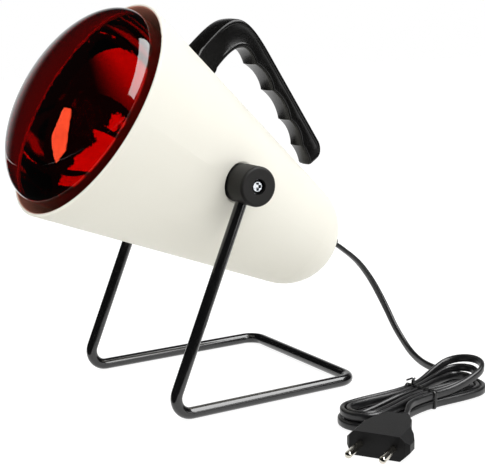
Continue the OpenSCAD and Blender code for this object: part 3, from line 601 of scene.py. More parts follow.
def hang_cards():
    """The cloths and cards that the glossy black parts and the bulb mirror."""
    stops = range(0, 361, CLOTH_STEP)
    points = [way_at(azimuth, height) * CLOTH_FAR for height in range(0, 91, CLOTH_STEP) for azimuth in stops]
    around = len(stops)
    corners = [j * around + i for j in range(90 // CLOTH_STEP) for i in range(around - 1)]
    faces = [(k, k + 1, k + around + 1, k + around) for k in corners]

    def at_turn(once, later=CLOTH_GLOW, straight=0.0):
        return lambda tree: by_turn(tree, straight, once, later)

    def hung(name, points, faces, glow, **more):
        card(name, points, faces, glow, mirrored=False, **more)

    def cut(name, ways, glow, **more):
        shape = [on_sky(*way, CARD_FAR) for way in ways]
        hung(name, shape, [tuple(range(len(shape)))], glow, **more)

    def band(name, inner, outer, far, glow):
        ways = [on_sky(*way, far) for pair in zip(inner, outer) for way in pair]
        strips = [(2 * i, 2 * i + 1, 2 * i + 3, 2 * i + 2) for i in range(len(inner) - 1)]
        hung(name, ways, strips, glow)

    card("cloth_round_the_set", points, faces, backdrop_glow, through_glass=False)
    hung("cloth_behind_the_glass", points, faces, at_turn(CLOTH_GLOW, straight=THROUGH_GLOW))
    near, side, end = TABLE_CLOTH
    table = [(-end, -end), (end, -end), (end, end), (side, end), (side, near), (-end, near)]
    table = [(x, y, TABLE_CLOTH_H) for x, y in table]
    card("cloth_on_the_table", table, [(0, 1, 2, 3, 4, 5)], CLOTH_GLOW, through_glass=False)
    sheet = flat_sheet(-CLOTH_FAR, CLOTH_FAR, -CLOTH_FAR, CLOTH_FAR, 0.2)
    hung("table_in_the_reflector", sheet, [(0, 1, 2, 3)], table_glow)
    cut("strip_in_the_reflector", STRIP_WAYS, at_turn(STRIP_GLOW), colour=STRIP_COLOUR)
    cut("spot_in_the_reflector", SPOT_WAYS, at_turn(CRESCENT_GLOW))
    band("crescent_in_the_reflector", CRESCENT_INNER, CRESCENT_OUTER, CARD_FAR + 20, at_turn(CRESCENT_GLOW))
    band("crescent_seen_twice", TWICE_INNER, TWICE_OUTER, CARD_FAR + 400, at_turn(CLOTH_GLOW, TWICE_GLOW))


def facing_card(name, at, towards, size, glow, long_axis):
    """A rectangular card at a point that faces another, in millimetres, for glossy surfaces only."""
    side, up, _ = facing(at, towards, long_axis)
    half_w, half_h = size[0] / 2, size[1] / 2
    signs = (-1, -1), (1, -1), (1, 1), (-1, 1)
    corners = [Vector(at) + side * (half_w * i) + up * (half_h * j) for i, j in signs]
    return card(name, corners, [(0, 1, 2, 3)], glow, through_glass=False)


def in_white(tree):
    """1 for a ray that meets the white background: straight, or by way of gloss or glass."""
    path = add(tree, "ShaderNodeLightPath").outputs
    seen = calculated(tree, "ADD", path["Is Camera Ray"], path["Is Glossy Ray"])
    either = {0: seen, 1: path["Is Transmission Ray"]}
    return add(tree, "ShaderNodeMath", {"operation": "ADD", "use_clamp": True}, either).outputs[0]


def build_world():
    """Soft light all round, in front of a background that shows white."""
    world = bpy.data.worlds.new("studio")
    bpy.context.scene.world = world
    world.use_nodes = True
    tree = world.node_tree
    tree.nodes.clear()
    seen = in_white(tree)
    lit = {"Color": (1, 1, 1, 1), "Strength": WORLD_LIGHT}
    soft = add(tree, "ShaderNodeBackground", inputs=lit)
    white = add(tree, "ShaderNodeBackground", inputs={"Color": (1, 1, 1, 1), "Strength": 1.0})
    mixed = add(tree, "ShaderNodeMixShader", inputs={0: seen, 1: soft.outputs[0], 2: white.outputs[0]})
    add(tree, "ShaderNodeOutputWorld", inputs={"Surface": mixed.outputs[0]})


def build_floor():
    """A pale paper floor that shows nearly white and keeps the lamp's shadow."""
    corners = flat_sheet(-FLOOR_HALF, FLOOR_HALF, -FLOOR_HALF, FLOOR_HALF, 0)
    floor = mesh_piece("studio_floor", corners, [(0, 1, 2, 3)], outward=False)
    paper = bpy.data.materials.new("white_paper_sweep")
    paper.use_nodes = True
    tree = paper.node_tree
    tree.nodes.clear()
    seen = in_white(tree)
    matt = add(tree, "ShaderNodeBsdfDiffuse", inputs={"Color": linear("EDEDEB")})
    faint = add(tree, "ShaderNodeBsdfDiffuse", inputs={"Color": linear("8C8C8B")})
    glow = add(tree, "ShaderNodeEmission", inputs={"Color": (1, 1, 1, 1), "Strength": FLOOR_GLOW})
    bright = add(tree, "ShaderNodeAddShader", inputs={0: faint.outputs[0], 1: glow.outputs[0]})
    both = add(tree, "ShaderNodeMixShader", inputs={0: seen, 1: matt.outputs[0], 2: bright.outputs[0]})
    add(tree, "ShaderNodeOutputMaterial", inputs={"Surface": both.outputs[0]})
    floor.data.materials.append(paper)


def build_stage():
    """A pale floor, soft lamps, a white backdrop and the camera of the photograph."""
    scene = bpy.context.scene
    scene.view_settings.view_transform = "Standard"
    build_world()
    build_floor()

    middle = (0, 0, 130)
    dome = Vector(DOME_AT)
    key_at = dome + Vector(KEY_WAY) * KEY_FAR
    area_light("softbox_key", key_at, dome, KEY_SIZE, KEY_WATTS, KEY_ALONG)
    facing_card("softbox_face", key_at, dome, KEY_SIZE, KEY_GLOW, KEY_ALONG)
    facing_card("card_for_the_screw", (408, 208, 58), (71, 6, 134), (170, 120), 2.5, (0, 0, 1))
    area_light("fill_front", (150, -900, 520), middle, (450, 700), 2.8)
    area_light("fill_rear", (350, 620, 30), (0, 90, 90), (400, 200), 1.0)
    area_light("fill_above", (-350, 150, 950), middle, (700, 700), 3.0)
    hang_cards()

    data = bpy.data.cameras.new("photo_camera")
    camera = bpy.data.objects.new("photo_camera", data)
    scene.collection.objects.link(camera)
    up = CAMERA_BACK.cross(CAMERA_RIGHT)
    turned = Matrix((CAMERA_RIGHT, up, CAMERA_BACK)).transposed().to_4x4()
    camera.matrix_world = Matrix.Translation(Vector(CAMERA_AT) * MM) @ turned
    data.sensor_fit = "HORIZONTAL"
    data.sensor_width = 36.0
    data.lens = LENS_MM
    data.shift_y = SHIFT_Y
    data.clip_start, data.clip_end = 0.01, 20.0
    scene.camera = camera


# ---- Cord ----

EXIT_N = 7.5
EXIT_A = -117.0
EXIT_DIR = np.array((0, math.cos(math.radians(LAMP_TILT)), -math.sin(math.radians(LAMP_TILT))))
EXIT_UP = np.array((0, math.sin(math.radians(LAMP_TILT)), math.cos(math.radians(LAMP_TILT))))
EXIT_AT = np.array((0, PIVOT_Y, PIVOT_H)) - EXIT_DIR * EXIT_A + EXIT_N * EXIT_UP
# Route from the bushing down to the table and round to the hank
RUN_ROUTE = [
    (0, 113.6, 75.1), (0, 118.5, 71.5), (1, 124, 67), (2, 129.5, 61.5), (4, 134, 55), (6.5, 138, 47.5),
    (10, 141.5, 38.5), (15, 143.9, 29), (21.5, 144.8, 20), (30, 144.8, 12.5), (40, 143.5, 7),
    (51, 141.5, 4.2),
    (62, 139.4, 3.5), (74, 138.7, 3.4), (84, 139, 3.4),
]
HANK_AT = np.array((115.0, 84.5))
HANK_YAW = math.radians(100.3)
HANK_U = np.array((math.cos(HANK_YAW), math.sin(HANK_YAW), 0))
HANK_V = np.array((math.sin(HANK_YAW), -math.cos(HANK_YAW), 0))
HANK_HALF = 42.0
HANK_R = 16.0
HANK_PITCH = 3.55
HANK_DRAW = 5.0
HANK_LIFT = 13.0
HANK_TURNS = 5.25
LAYERS = 3.4, 8.8
CLIMB_AT = 2.625
TURN_BACK = 2.75
CLIMB_ASIDE = 1.3  # step aside of the cord while it climbs
PLUG_YAW = math.radians(33)
PLUG_DIR = np.array((math.sin(PLUG_YAW), -math.cos(PLUG_YAW), 0))
TAIL_ROUTE = [(127.8, 74.5, 8.8), (131.5, 68, 8.7), (136.3, 62.8, 7.8), (141, 57.6, 6.9)]
CORD_SIDES = 20
CORD_WAIST = 0.16  # depth of the groove between the cord's two cores


def hank_point(q):
    """Middle of the cord at turn q of the hank."""
    f, l = q - math.floor(q), HANK_HALF
    r = HANK_R - HANK_PITCH * (q if q < TURN_BACK else 2 * TURN_BACK - q)

    def drawn(u):
        return HANK_DRAW * (1 + math.cos(math.pi * u / l)) / 2

    if f < 0.125 or f >= 0.875:
        a = math.radians(720 * f if f < 0.125 else -90 + 720 * (f - 0.875))
        u, v = l + r * math.cos(a), r * math.sin(a)
    elif f < 0.375:
        u = l - 8 * l * (f - 0.125)
        v = r - drawn(u)
    elif f < 0.625:
        a = math.radians(90 + 720 * (f - 0.375))
        u, v = -l + r * math.cos(a), r * math.sin(a)
    else:
        u = -l + 8 * l * (f - 0.625)
        v = -r + drawn(u)
    v += CLIMB_ASIDE * math.sin(math.pi * min(max((q - CLIMB_AT) / 0.12, 0), 1))
    z = LAYERS[0] + (LAYERS[1] - LAYERS[0]) * ramp((q - CLIMB_AT) / 0.1)
    z += HANK_LIFT * max(0, (q - 3) / 2.25) * ramp((u - 12) / 60)
    return np.array((HANK_AT[0], HANK_AT[1], z)) + HANK_U * u + HANK_V * v


def curve_through(points, steps):
    """A smooth line through points, with a number of steps between each two."""
    p = [np.array(x, float) for x in points]
    p = [2 * p[0] - p[1]] + p + [2 * p[-1] - p[-2]]
    line = []
    for i in range(1, len(p) - 2):
        for k in range(steps):
            t = k / steps
            line.append(
                0.5 * (2 * p[i] + (p[i + 1] - p[i - 1]) * t
                       + (2 * p[i - 1] - 5 * p[i] + 4 * p[i + 1] - p[i + 2]) * t * t
                       + (3 * p[i] - p[i - 1] - 3 * p[i + 1] + p[i + 2]) * t**3)
            )
    return line + [p[-2]]


def cord_line():
    """The cord's middle line from the bushing to the plug, and how far its width stands upright."""
    start = hank_point(0) - 5 * HANK_V
    end = hank_point(HANK_TURNS) - 5 * HANK_U
    steps = 5
    run = curve_through([EXIT_AT, *RUN_ROUTE, start - 8 * HANK_V, start], steps)
    upright = [ramp((i / steps - 2) / 9) for i in range(len(run))]
    turns = [hank_point(q) for q in np.arange(0, HANK_TURNS + 1e-6, 1 / 56)]
    tail = curve_through([end, *TAIL_ROUTE], steps)
    line = run + turns + tail
    return np.array(line), upright + [1.0] * (len(line) - len(run))


def flat_section(width, thickness):
    """Outline of the flat cord: two cores side by side under one sheath."""
    round_r = thickness / 2
    reach = width / 2 - round_r
    ring = []
    for k in range(CORD_SIDES):
        a = 2 * math.pi * (k + 0.5) / CORD_SIDES
        c, s = math.cos(a), math.sin(a)
        across = round_r * c + reach * max(-1.0, min(1.0, 2.2 * c))
        waist = CORD_WAIST * math.exp(-((across / 0.6) ** 2))
        rise = s if abs(c) > 0.4 else math.copysign(min(1.0, abs(s) * 1.02), s)
        ring.append((across, (round_r - waist) * rise))
    return ring


def build_cord():
    """The flat mains cord in one piece, from the bushing through the hank to the plug."""
    sizes = bpy.context.scene.heat_lamp_sizes
    section = flat_section(sizes.cord_width / MM, sizes.cord_thickness / MM)
    line, upright = cord_line()
    rings = []
    for i, (p, share) in enumerate(zip(line, upright)):
        ahead = unit(line[min(i + 1, len(line) - 1)] - line[max(i - 1, 0)])
        wide = np.array((1 - share, 0, share + 0.001))
        e1 = unit(wide - ahead * (wide @ ahead))
        e2 = np.cross(ahead, e1)
        rings.append([p + e1 * u + e2 * v for u, v in section])
    cord = mesh_piece("mains_cord", *skin(rings), smooth_angle=60)
    finished(cord, finish_of("cord_pvc"), "cord_pvc", None, "cord_run", "cord_hank", "cord_tail")
    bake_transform(cord)
    return cord, line


# ---- Cord tie ----

TIE_U = 6.0
TIE_W = 2.2
TIE_T = 0.7
TIE_BOX = -12.4, 10.6, 0.85, 11.7  # the bundle inside the tie: across from, to, height from, to
TIE_CORNER = 1.6
STRAND_R = 0.55
STRAND_SIDES = 8
STRAND_STEPS = 40
TWIST_R = 0.62  # of the two strands' middle lines round each other
TWIST_TURNS = 1.6
TWIST_H = 3.4
TWIST_ACROSS = 5  # place of the twist across the hank
PARTED_R = 3.4  # how far apart the strands' tips part


def tie_place():
    """Axes of the tie: x along the hank, y across, z up."""
    at_hank = Matrix.Translation((HANK_AT[0], HANK_AT[1], 0)) @ Matrix.Rotation(HANK_YAW, 4, "Z")
    return at_hank @ Matrix.Translation((TIE_U, 0, 0))


def strand(place, phase, lean):
    """One twisted end of the tie: it winds up round the other, then leans away from it."""
    line = []
    side = math.atan2(lean[1], lean[0])
    for i in range(STRAND_STEPS + 1):
        t = i / STRAND_STEPS
        twist = phase + 2 * math.pi * TWIST_TURNS * min(t / 0.55, 1)
        part = max(0.0, (t - 0.5) / 0.5)
        r = TWIST_R + PARTED_R * part**1.4
        c = (1 - part) * math.cos(twist) + part * math.cos(side)
        s = (1 - part) * math.sin(twist) + part * math.sin(side)
        height = TIE_BOX[3] + 0.4 + TWIST_H * min(t / 0.7, 1) - 0.9 * max(0, t - 0.75) * 4
        line.append(np.array((r * c, TWIST_ACROSS + r * s, height)))
    rings = []
    for i, p in enumerate(line):
        ahead = unit(line[min(i + 1, STRAND_STEPS)] - line[max(i - 1, 0)])
        e1 = unit(np.cross(ahead, (0.3, 0.2, 1.0)))
        e2 = np.cross(ahead, e1)
        angles = [2 * math.pi * k / STRAND_SIDES for k in range(STRAND_SIDES)]
        rings.append([place @ Vector(p + STRAND_R * (e1 * math.cos(a) + e2 * math.sin(a))) for a in angles])
    return skin(rings)


def build_tie():
    """The wire tie: a strip round the hank's waist and its two ends twisted together on top."""
    place = tie_place()
    left, right, low, high = (edge - TIE_CORNER * sign for edge, sign in zip(TIE_BOX, (-1, 1, -1, 1)))
    loop = []
    for across, height, start in ((right, high, 0), (left, high, 90), (left, low, 180), (right, low, 270)):
        for k in range(7):
            a = math.radians(start + 15 * k)
            loop.append((across, height, math.cos(a), math.sin(a)))
    # Section of the strip: a wire down its middle and two thin wings
    half = TIE_W / 2
    section = [(-half, 0.12), (-half * 0.45, 0.16), (0, TIE_T - 0.14), (half * 0.45, 0.16), (half, 0.12)]
    section += [(half, 0.02), (0, 0.02), (-half, 0.02)]
    points, faces = [], []
    for across, height, ny, nz in loop:
        for along, out in section:
            r = TIE_CORNER + out
            points.append(place @ Vector((along, across + ny * r, height + nz * r)))
    n, m = len(section), len(loop)
    for i in range(m):
        for k in range(n):
            j, l = (i + 1) % m, (k + 1) % n
            faces.append((i * n + k, i * n + l, j * n + l, j * n + k))
    for phase, lean in ((0.0, (1.0, 0.5)), (math.pi, (-0.8, 0.9))):
        more, more_faces = strand(place, phase, lean)
        faces += [tuple(x + len(points) for x in f) for f in more_faces]
        points += more
    tie = mesh_piece("wire_tie", points, faces, smooth_angle=50)
    return finished(tie, finish_of("tie_plastic"), "tie_plastic", "stand", "cord_tie")


# ---- Plug ----

PIN_LEN = 19.0
BODY_L = 36.0
BODY_H = 13.7
RELIEF_L = 12.0
# The relief's core, as (radius, distance behind the body), and the ribs round it
RELIEF_CORE = [(0, -1), (4.6, -1), (4.3, 1), (3.4, RELIEF_L - 0.6), (2.9, RELIEF_L), (0, RELIEF_L)]
RIB_R = 4.75
RIB_T = 0.95
FIRST_RIB = 1.05


def plug_place():
    """The plug's own axes: y from the pins' tips back to the cord, z up."""
    tip = np.array(TAIL_ROUTE[-1]) + PLUG_DIR * (PIN_LEN + BODY_L + RELIEF_L)
    return Matrix.Translation((tip[0], tip[1], BODY_H / 2 + 0.05)) @ Matrix.Rotation(PLUG_YAW, 4, "Z")


def rounded_copy(node, name, edge):
    """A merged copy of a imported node's mesh with rounded edges, its radius in metres."""
    work = bmesh.new()
    work.from_mesh(NODES[node].data)
    bmesh.ops.remove_doubles(work, verts=work.verts, dist=2e-6)
    bmesh.ops.dissolve_limit(work, angle_limit=math.radians(1), verts=work.verts, edges=work.edges)
    work.verts.ensure_lookup_table()
    points = [tuple(v.co / MM) for v in work.verts]
    faces = [tuple(v.index for v in f.verts) for f in work.faces]
    work.free()
    piece = mesh_piece(name, points, faces, smooth_angle=20)
    bevel = piece.modifiers.new("soft_edges", "BEVEL")
    bevel.width = edge
    bevel.segments = 3
    bevel.limit_method = "ANGLE"
    bevel.angle_limit = math.radians(18)
    bevel.harden_normals = True
    bevel.miter_outer = "MITER_ARC"
    return piece


def node_group(name):
    """A new Geometry Nodes tree with its output."""
    tree = bpy.data.node_groups.new(name, "GeometryNodeTree")
    tree.interface.new_socket(name="Geometry", in_out="OUTPUT", socket_type="NodeSocketGeometry")
    return tree


def group_input(tree, name, default):
    """Adds a named input to a node group, a count or a size, and gives back its identifier."""
    kind = "NodeSocketInt" if isinstance(default, int) else "NodeSocketFloat"
    made = tree.interface.new_socket(name=name, in_out="INPUT", socket_type=kind)
    made.default_value = default
    return made.identifier


def end_group(tree, shape, material):
    """Ends a node group: real meshes in a material."""
    real = add(tree, "GeometryNodeRealizeInstances", inputs={"Geometry": shape.outputs[0]})
    coated = add(tree, "GeometryNodeSetMaterial", inputs={"Geometry": real.outputs[0], "Material": material})
    add(tree, "NodeGroupOutput", inputs={"Geometry": coated.outputs[0]})


def in_metres(place):
    """A placing in millimetres, for a mesh in metres."""
    return Matrix.Diagonal((MM, MM, MM, 1)) @ place @ Matrix.Diagonal((1 / MM, 1 / MM, 1 / MM, 1))


def rib_tree(material):
    """Geometry Nodes: rings along y that get smaller, over a core."""
    tree = node_group("relief_ribs")
    keys = {
        "ribs": group_input(tree, "Ribs", 4),
        "pitch": group_input(tree, "Pitch", 3 * MM),
        "radius": group_input(tree, "Rib radius", 5 * MM),
        "thick": group_input(tree, "Rib thickness", MM),
        "taper": group_input(tree, "Taper", 0.09),
    }
    given = add(tree, "NodeGroupInput").outputs
    step = add(tree, "ShaderNodeCombineXYZ", inputs={"Y": given["Pitch"]})
    line = add(tree, "GeometryNodeMeshLine", inputs={"Count": given["Ribs"], "Offset": step.outputs[0]})
    circle = "GeometryNodeCurvePrimitiveCircle"
    ring = add(tree, circle, inputs={"Resolution": 48, "Radius": given["Rib radius"]})
    upright = {"Geometry": ring.outputs[0], "Rotation": (math.pi / 2, 0, 0)}
    level = add(tree, "GeometryNodeTransform", inputs=upright)
    profile = add(tree, circle, inputs={"Resolution": 12, "Radius": given["Rib thickness"]})
    rib = add(tree, "GeometryNodeCurveToMesh", inputs={0: level.outputs[0], 1: profile.outputs[0]})
    order = add(tree, "GeometryNodeInputIndex").outputs[0]
    size = calculated(tree, "SUBTRACT", 1.0, calculated(tree, "MULTIPLY", order, given["Taper"]))
    scale = add(tree, "ShaderNodeCombineXYZ", inputs={"X": size, "Y": 1.0, "Z": size})
    row = {"Points": line.outputs[0], "Instance": rib.outputs[0], "Scale": scale.outputs[0]}
    placed = add(tree, "GeometryNodeInstanceOnPoints", inputs=row)
    end_group(tree, placed, material)
    return tree, keys


def grown(name, tree, values):
    """The mesh that a Geometry Nodes tree makes from its values, as a plain mesh of its own."""
    carrier = bpy.data.objects.new(name + "_maker", bpy.data.meshes.new(name + "_maker"))
    bpy.context.scene.collection.objects.link(carrier)
    maker = carrier.modifiers.new("maker", "NODES")
    maker.node_group = tree
    for key, value in values.items():
        maker[key] = value
    shown = carrier.evaluated_get(bpy.context.evaluated_depsgraph_get())
    mesh = bpy.data.meshes.new_from_object(shown)
    bpy.data.objects.remove(carrier)
    mesh.name = name
    return mesh


def build_plug():
    """The flat plug: a soft-edged body, its ribbed relief and two bright pins."""
    sizes = bpy.context.scene.heat_lamp_sizes
    place = plug_place()
    body = rounded_copy("plug_body", "plug_moulding", sizes.plug_edge)
    finished(body, finish_of("plug_pvc"), "plug_pvc", "stand", "plug_body")

    tree, keys = rib_tree(finish_of("plug_pvc"))
    values = {keys["ribs"]: sizes.relief_ribs, keys["pitch"]: RELIEF_L / sizes.relief_ribs * MM,
              keys["radius"]: RIB_R * MM, keys["thick"]: RIB_T * MM, keys["taper"]: 0.1}
    ribs = grown("relief_ribs", tree, values)
    back = PIN_LEN + BODY_L
    ribs.transform(in_metres(place @ Matrix.Translation((0, back + FIRST_RIB, 0))))
    turned = place @ Matrix.Rotation(math.radians(-90), 4, "X")
    core = lathe("plug_relief", [(r, back + y) for r, y in RELIEF_CORE], turned, 48)
    work = bmesh.new()
    work.from_mesh(core.data)
    work.from_mesh(ribs)
    bmesh.ops.recalc_face_normals(work, faces=work.faces)
    work.to_mesh(core.data)
    work.free()
    smoothed(core, 40)
    finished(core, finish_of("plug_pvc"), "plug_pvc", "stand", "plug_strain_relief")
    dress(finish_of("nickel_brass"), "plug_pins")
    return [body, core]


# ---- Handle ----

OUTER_BOW = [(45, 52), (34.5, 91.5), (33.3, 103), (-2.6, 86.7)]
INNER_BOW = [(26.5, 54), (23.9, 68.2), (20, 90), (2.4, 75.6)]
GRIP_FALL = math.radians(24.2)
GRIP_LEN = 78.3
RIDGES = [(0, 12.2), (20.9, 11), (43.9, 11.1), (63.3, 12.9), (78.3, 15)]
END_ROUND = 9.4
END_EDGE = 1.8
FOOT_HALF_W = 9.4
TAIL_HALF_W = 6.6
GROOVE_DEPTH = 2.5
FOOT_PAD = 1.8  # height of the foot's upright edge, and then of the slope above it
FOOT_SLOPE = 2.6
FOOT_OUT = 2.2
PANEL_RIM = 0.9  # width of the flat rim round a side panel, and of the fall from it to the panel
PANEL_FALL = 0.7
CROWN = 0.35  # rise of the handle's outer and inner faces towards their middle
BOW_STEPS = 44
GROOVE_STEPS = 18


def groove(s):
    """Depth of the grip at a distance along it."""
    i = max(k for k in range(4) if s >= RIDGES[k][0] or k == 0)
    (s0, d0), (s1, d1) = RIDGES[i], RIDGES[i + 1]
    u = (s - s0) / (s1 - s0)
    depth = GROOVE_DEPTH if i < 3 else GROOVE_DEPTH / 2
    return d0 + (d1 - d0) * u - depth * max(math.sin(math.pi * u), 0) ** 0.8


def handle_stations():
    """Stations of the handle: outer point, inner point, half width, share of the side panel."""
    ahead = np.array((-math.cos(GRIP_FALL), -math.sin(GRIP_FALL)))
    inward = np.array((math.sin(GRIP_FALL), -math.cos(GRIP_FALL)))
    waist = FOOT_HALF_W - 1.2
    made = []
    for i in range(BOW_STEPS):
        t = i / BOW_STEPS
        made.append((
            bezier(OUTER_BOW, t), bezier(INNER_BOW, t), FOOT_HALF_W - 1.2 * t, ramp((t - 0.22) / 0.2)
        ))
    stops = sorted({
        s0 + (s1 - s0) * k / GROOVE_STEPS for (s0, _), (s1, _) in zip(RIDGES, RIDGES[1:])
        for k in range(GROOVE_STEPS)
    })
    stops += [GRIP_LEN - END_EDGE * (1 - math.sin(math.radians(a))) for a in (0, 30, 60, 90)]
    for s in sorted(stops):
        base = np.array(OUTER_BOW[3]) + ahead * s
        end = max(0.0, s - GRIP_LEN + END_ROUND)
        drop = END_ROUND * (1 - math.sqrt(max(0.0, 1 - (end / (END_ROUND + 0.6)) ** 2)))
        tuck = END_EDGE * (1 - math.sqrt(max(0.0, 1 - (max(0.0, s - GRIP_LEN + END_EDGE) / END_EDGE) ** 2)))
        half = waist + (TAIL_HALF_W - waist) * s / GRIP_LEN - tuck
        made.append((
            base + inward * (drop + 0.5 * tuck), base + inward * (groove(s) - tuck), half,
            ramp((GRIP_LEN - 3 - s) / 5)
        ))
    return made


def handle_ring(outer, inner, half_w, panel_share, edge, panel):
    """One ring of the handle: a rounded oblong with a shallow panel in each side."""
    middle, reach = (outer + inner) / 2, (outer - inner) / 2
    half_d = np.linalg.norm(reach)
    up = reach / half_d
    c = min(edge, 0.42 * half_w, 0.42 * half_d)
    brink = half_d - c - PANEL_RIM
    side = [half_d - c] + [brink - share * PANEL_FALL for share in (0, 0.35, 0.65, 1)]
    side = [max(x, 0.02 * (5 - k)) for k, x in enumerate(side)]
    depth = [0, 0, 0.2, 0.8, 1.0]
    quarter = [(half_w - panel * panel_share * d, v) for v, d in zip(side, depth)][::-1]
    arc = [
        (half_w - c + c * math.cos(math.radians(a)), half_d - c + c * math.sin(math.radians(a)))
        for a in (15, 30, 45, 60, 75, 90)
    ]
    top = [((half_w - c) * f, half_d + CROWN * (1 - f * f)) for f in (0.66, 0.33)]
    one = quarter + arc + top
    ring = one + [(0.0, half_d + CROWN)] + [(-u, v) for u, v in one[::-1]]
    ring += [(-u, -v) for u, v in one] + [(0.0, -half_d - CROWN)] + [(u, -v) for u, v in one[::-1]]
    out = []
    for u, v in ring:
        a, n = middle + up * v
        surface_n = MOUTH_R - CONE_SLOPE * (MOUTH_AHEAD - a) - AXIS_DROP
        above = n - surface_n
        wider = FOOT_OUT * min(max((FOOT_PAD + FOOT_SLOPE - above) / FOOT_SLOPE, 0), 1)
        out.append(IN_LAMP @ Vector((u * (half_w + wider) / half_w, n, a)))
    return out


def housing_cutter():
    """The housing's outside as a solid, for fitting the handle's foot to it."""
    outline = [
        (0, TOUCH_A), (REAR_R * math.cos(CONE_ANGLE), TOUCH_A), (MOUTH_R, MOUTH_AHEAD), (0, MOUTH_AHEAD)
    ]
    return lathe("housing_cutter", [(max(r - 0.05, 0), z) for r, z in outline], ON_AXIS, 240)


def build_handle():
    """The carrying handle: bow, finger grooves, side panels, and a foot that fits the housing."""
    sizes = bpy.context.scene.heat_lamp_sizes
    edge, panel = sizes.handle_edge / MM, sizes.handle_panel / MM
    rings = [handle_ring(*station, edge, panel) for station in handle_stations()]
    handle = mesh_piece("carry_handle", *skin(rings), smooth_angle=32)
    cutter = housing_cutter()
    cut = handle.modifiers.new("foot_fit", "BOOLEAN")
    cut.operation = "DIFFERENCE"
    cut.solver = "EXACT"
    cut.object = cutter
    shown = handle.evaluated_get(bpy.context.evaluated_depsgraph_get())
    fitted = bpy.data.meshes.new_from_object(shown)
    handle.modifiers.clear()
    handle.data = fitted
    bpy.data.objects.remove(cutter)
    smoothed(handle, 32)
    finished(handle, finish_of("handle_plastic"), "handle_plastic", "head", "handle_grip")
    dress(finish_of("zinc_steel"), "handle_plate", "handle_screws")


# ---- Bulb ----

BULB_R = 62.8
BULB_AHEAD = 89.0
DOME_H = 29.0
NECK_R = 16.0
CAP_ROOT_R = 12.2
CAP_TOP = -33.0
FLANK = [(BULB_R, BULB_AHEAD), (BULB_R - 1, BULB_AHEAD - 36), (NECK_R + 8, 32), (NECK_R, -8)]
GLASS_STEPS = 64
FILAMENT_A = 38.0
FILAMENT_R = 11.0


def dome_point(a, d):
    """Point of the dome at an angle in degrees, at a depth under its outside."""
    a = math.radians(a)
    return (BULB_R - d) * math.cos(a), BULB_AHEAD + (DOME_H - d) * math.sin(a)


def flank_point(t, d):
    """Point of the reflector's flank, at a depth under its outside."""
    q = unit(bezier(FLANK, min(t + 0.01, 1)) - bezier(FLANK, max(t - 0.01, 0)))
    return tuple(bezier(FLANK, t) + np.array((q[1], -q[0])) * d)


def filament_tree(material):
    """Geometry Nodes: a wire coiled round an open ring, and the identifier of its number of turns."""
    tree = node_group("coiled_filament")
    group_input(tree, "Ring radius", FILAMENT_R * MM)
    group_input(tree, "Coil radius", 0.6 * MM)
    group_input(tree, "Wire radius", 0.18 * MM)
    turns = group_input(tree, "Turns", 50)
    group_input(tree, "Sweep", math.radians(310))
    given = add(tree, "NodeGroupInput").outputs
    count = calculated(tree, "MULTIPLY", given["Turns"], 12.0)
    line = add(tree, "GeometryNodeCurvePrimitiveLine")
    dense = add(tree, "GeometryNodeResampleCurve", inputs={"Curve": line.outputs[0], "Count": count})
    along = add(tree, "GeometryNodeSplineParameter").outputs["Factor"]
    round_ring = calculated(tree, "MULTIPLY", along, given["Sweep"])
    coils = calculated(tree, "MULTIPLY", along, given["Turns"])
    phase = calculated(tree, "MULTIPLY", coils, 2 * math.pi)
    out = calculated(tree, "COSINE", phase)
    far = calculated(tree, "MULTIPLY_ADD", out, given["Coil radius"], given["Ring radius"])
    high = calculated(tree, "MULTIPLY", calculated(tree, "SINE", phase), given["Coil radius"])
    x = calculated(tree, "MULTIPLY", far, calculated(tree, "COSINE", round_ring))
    y = calculated(tree, "MULTIPLY", far, calculated(tree, "SINE", round_ring))
    spot = add(tree, "ShaderNodeCombineXYZ", inputs={"X": x, "Y": y, "Z": high})
    moved = {"Geometry": dense.outputs[0], "Position": spot.outputs[0]}
    coiled = add(tree, "GeometryNodeSetPosition", inputs=moved)
    thin = {"Resolution": 6, "Radius": given["Wire radius"]}
    profile = add(tree, "GeometryNodeCurvePrimitiveCircle", inputs=thin)
    wound = {0: coiled.outputs[0], 1: profile.outputs[0], "Fill Caps": True}
    end_group(tree, add(tree, "GeometryNodeCurveToMesh", inputs=wound), material)
    return tree, turns


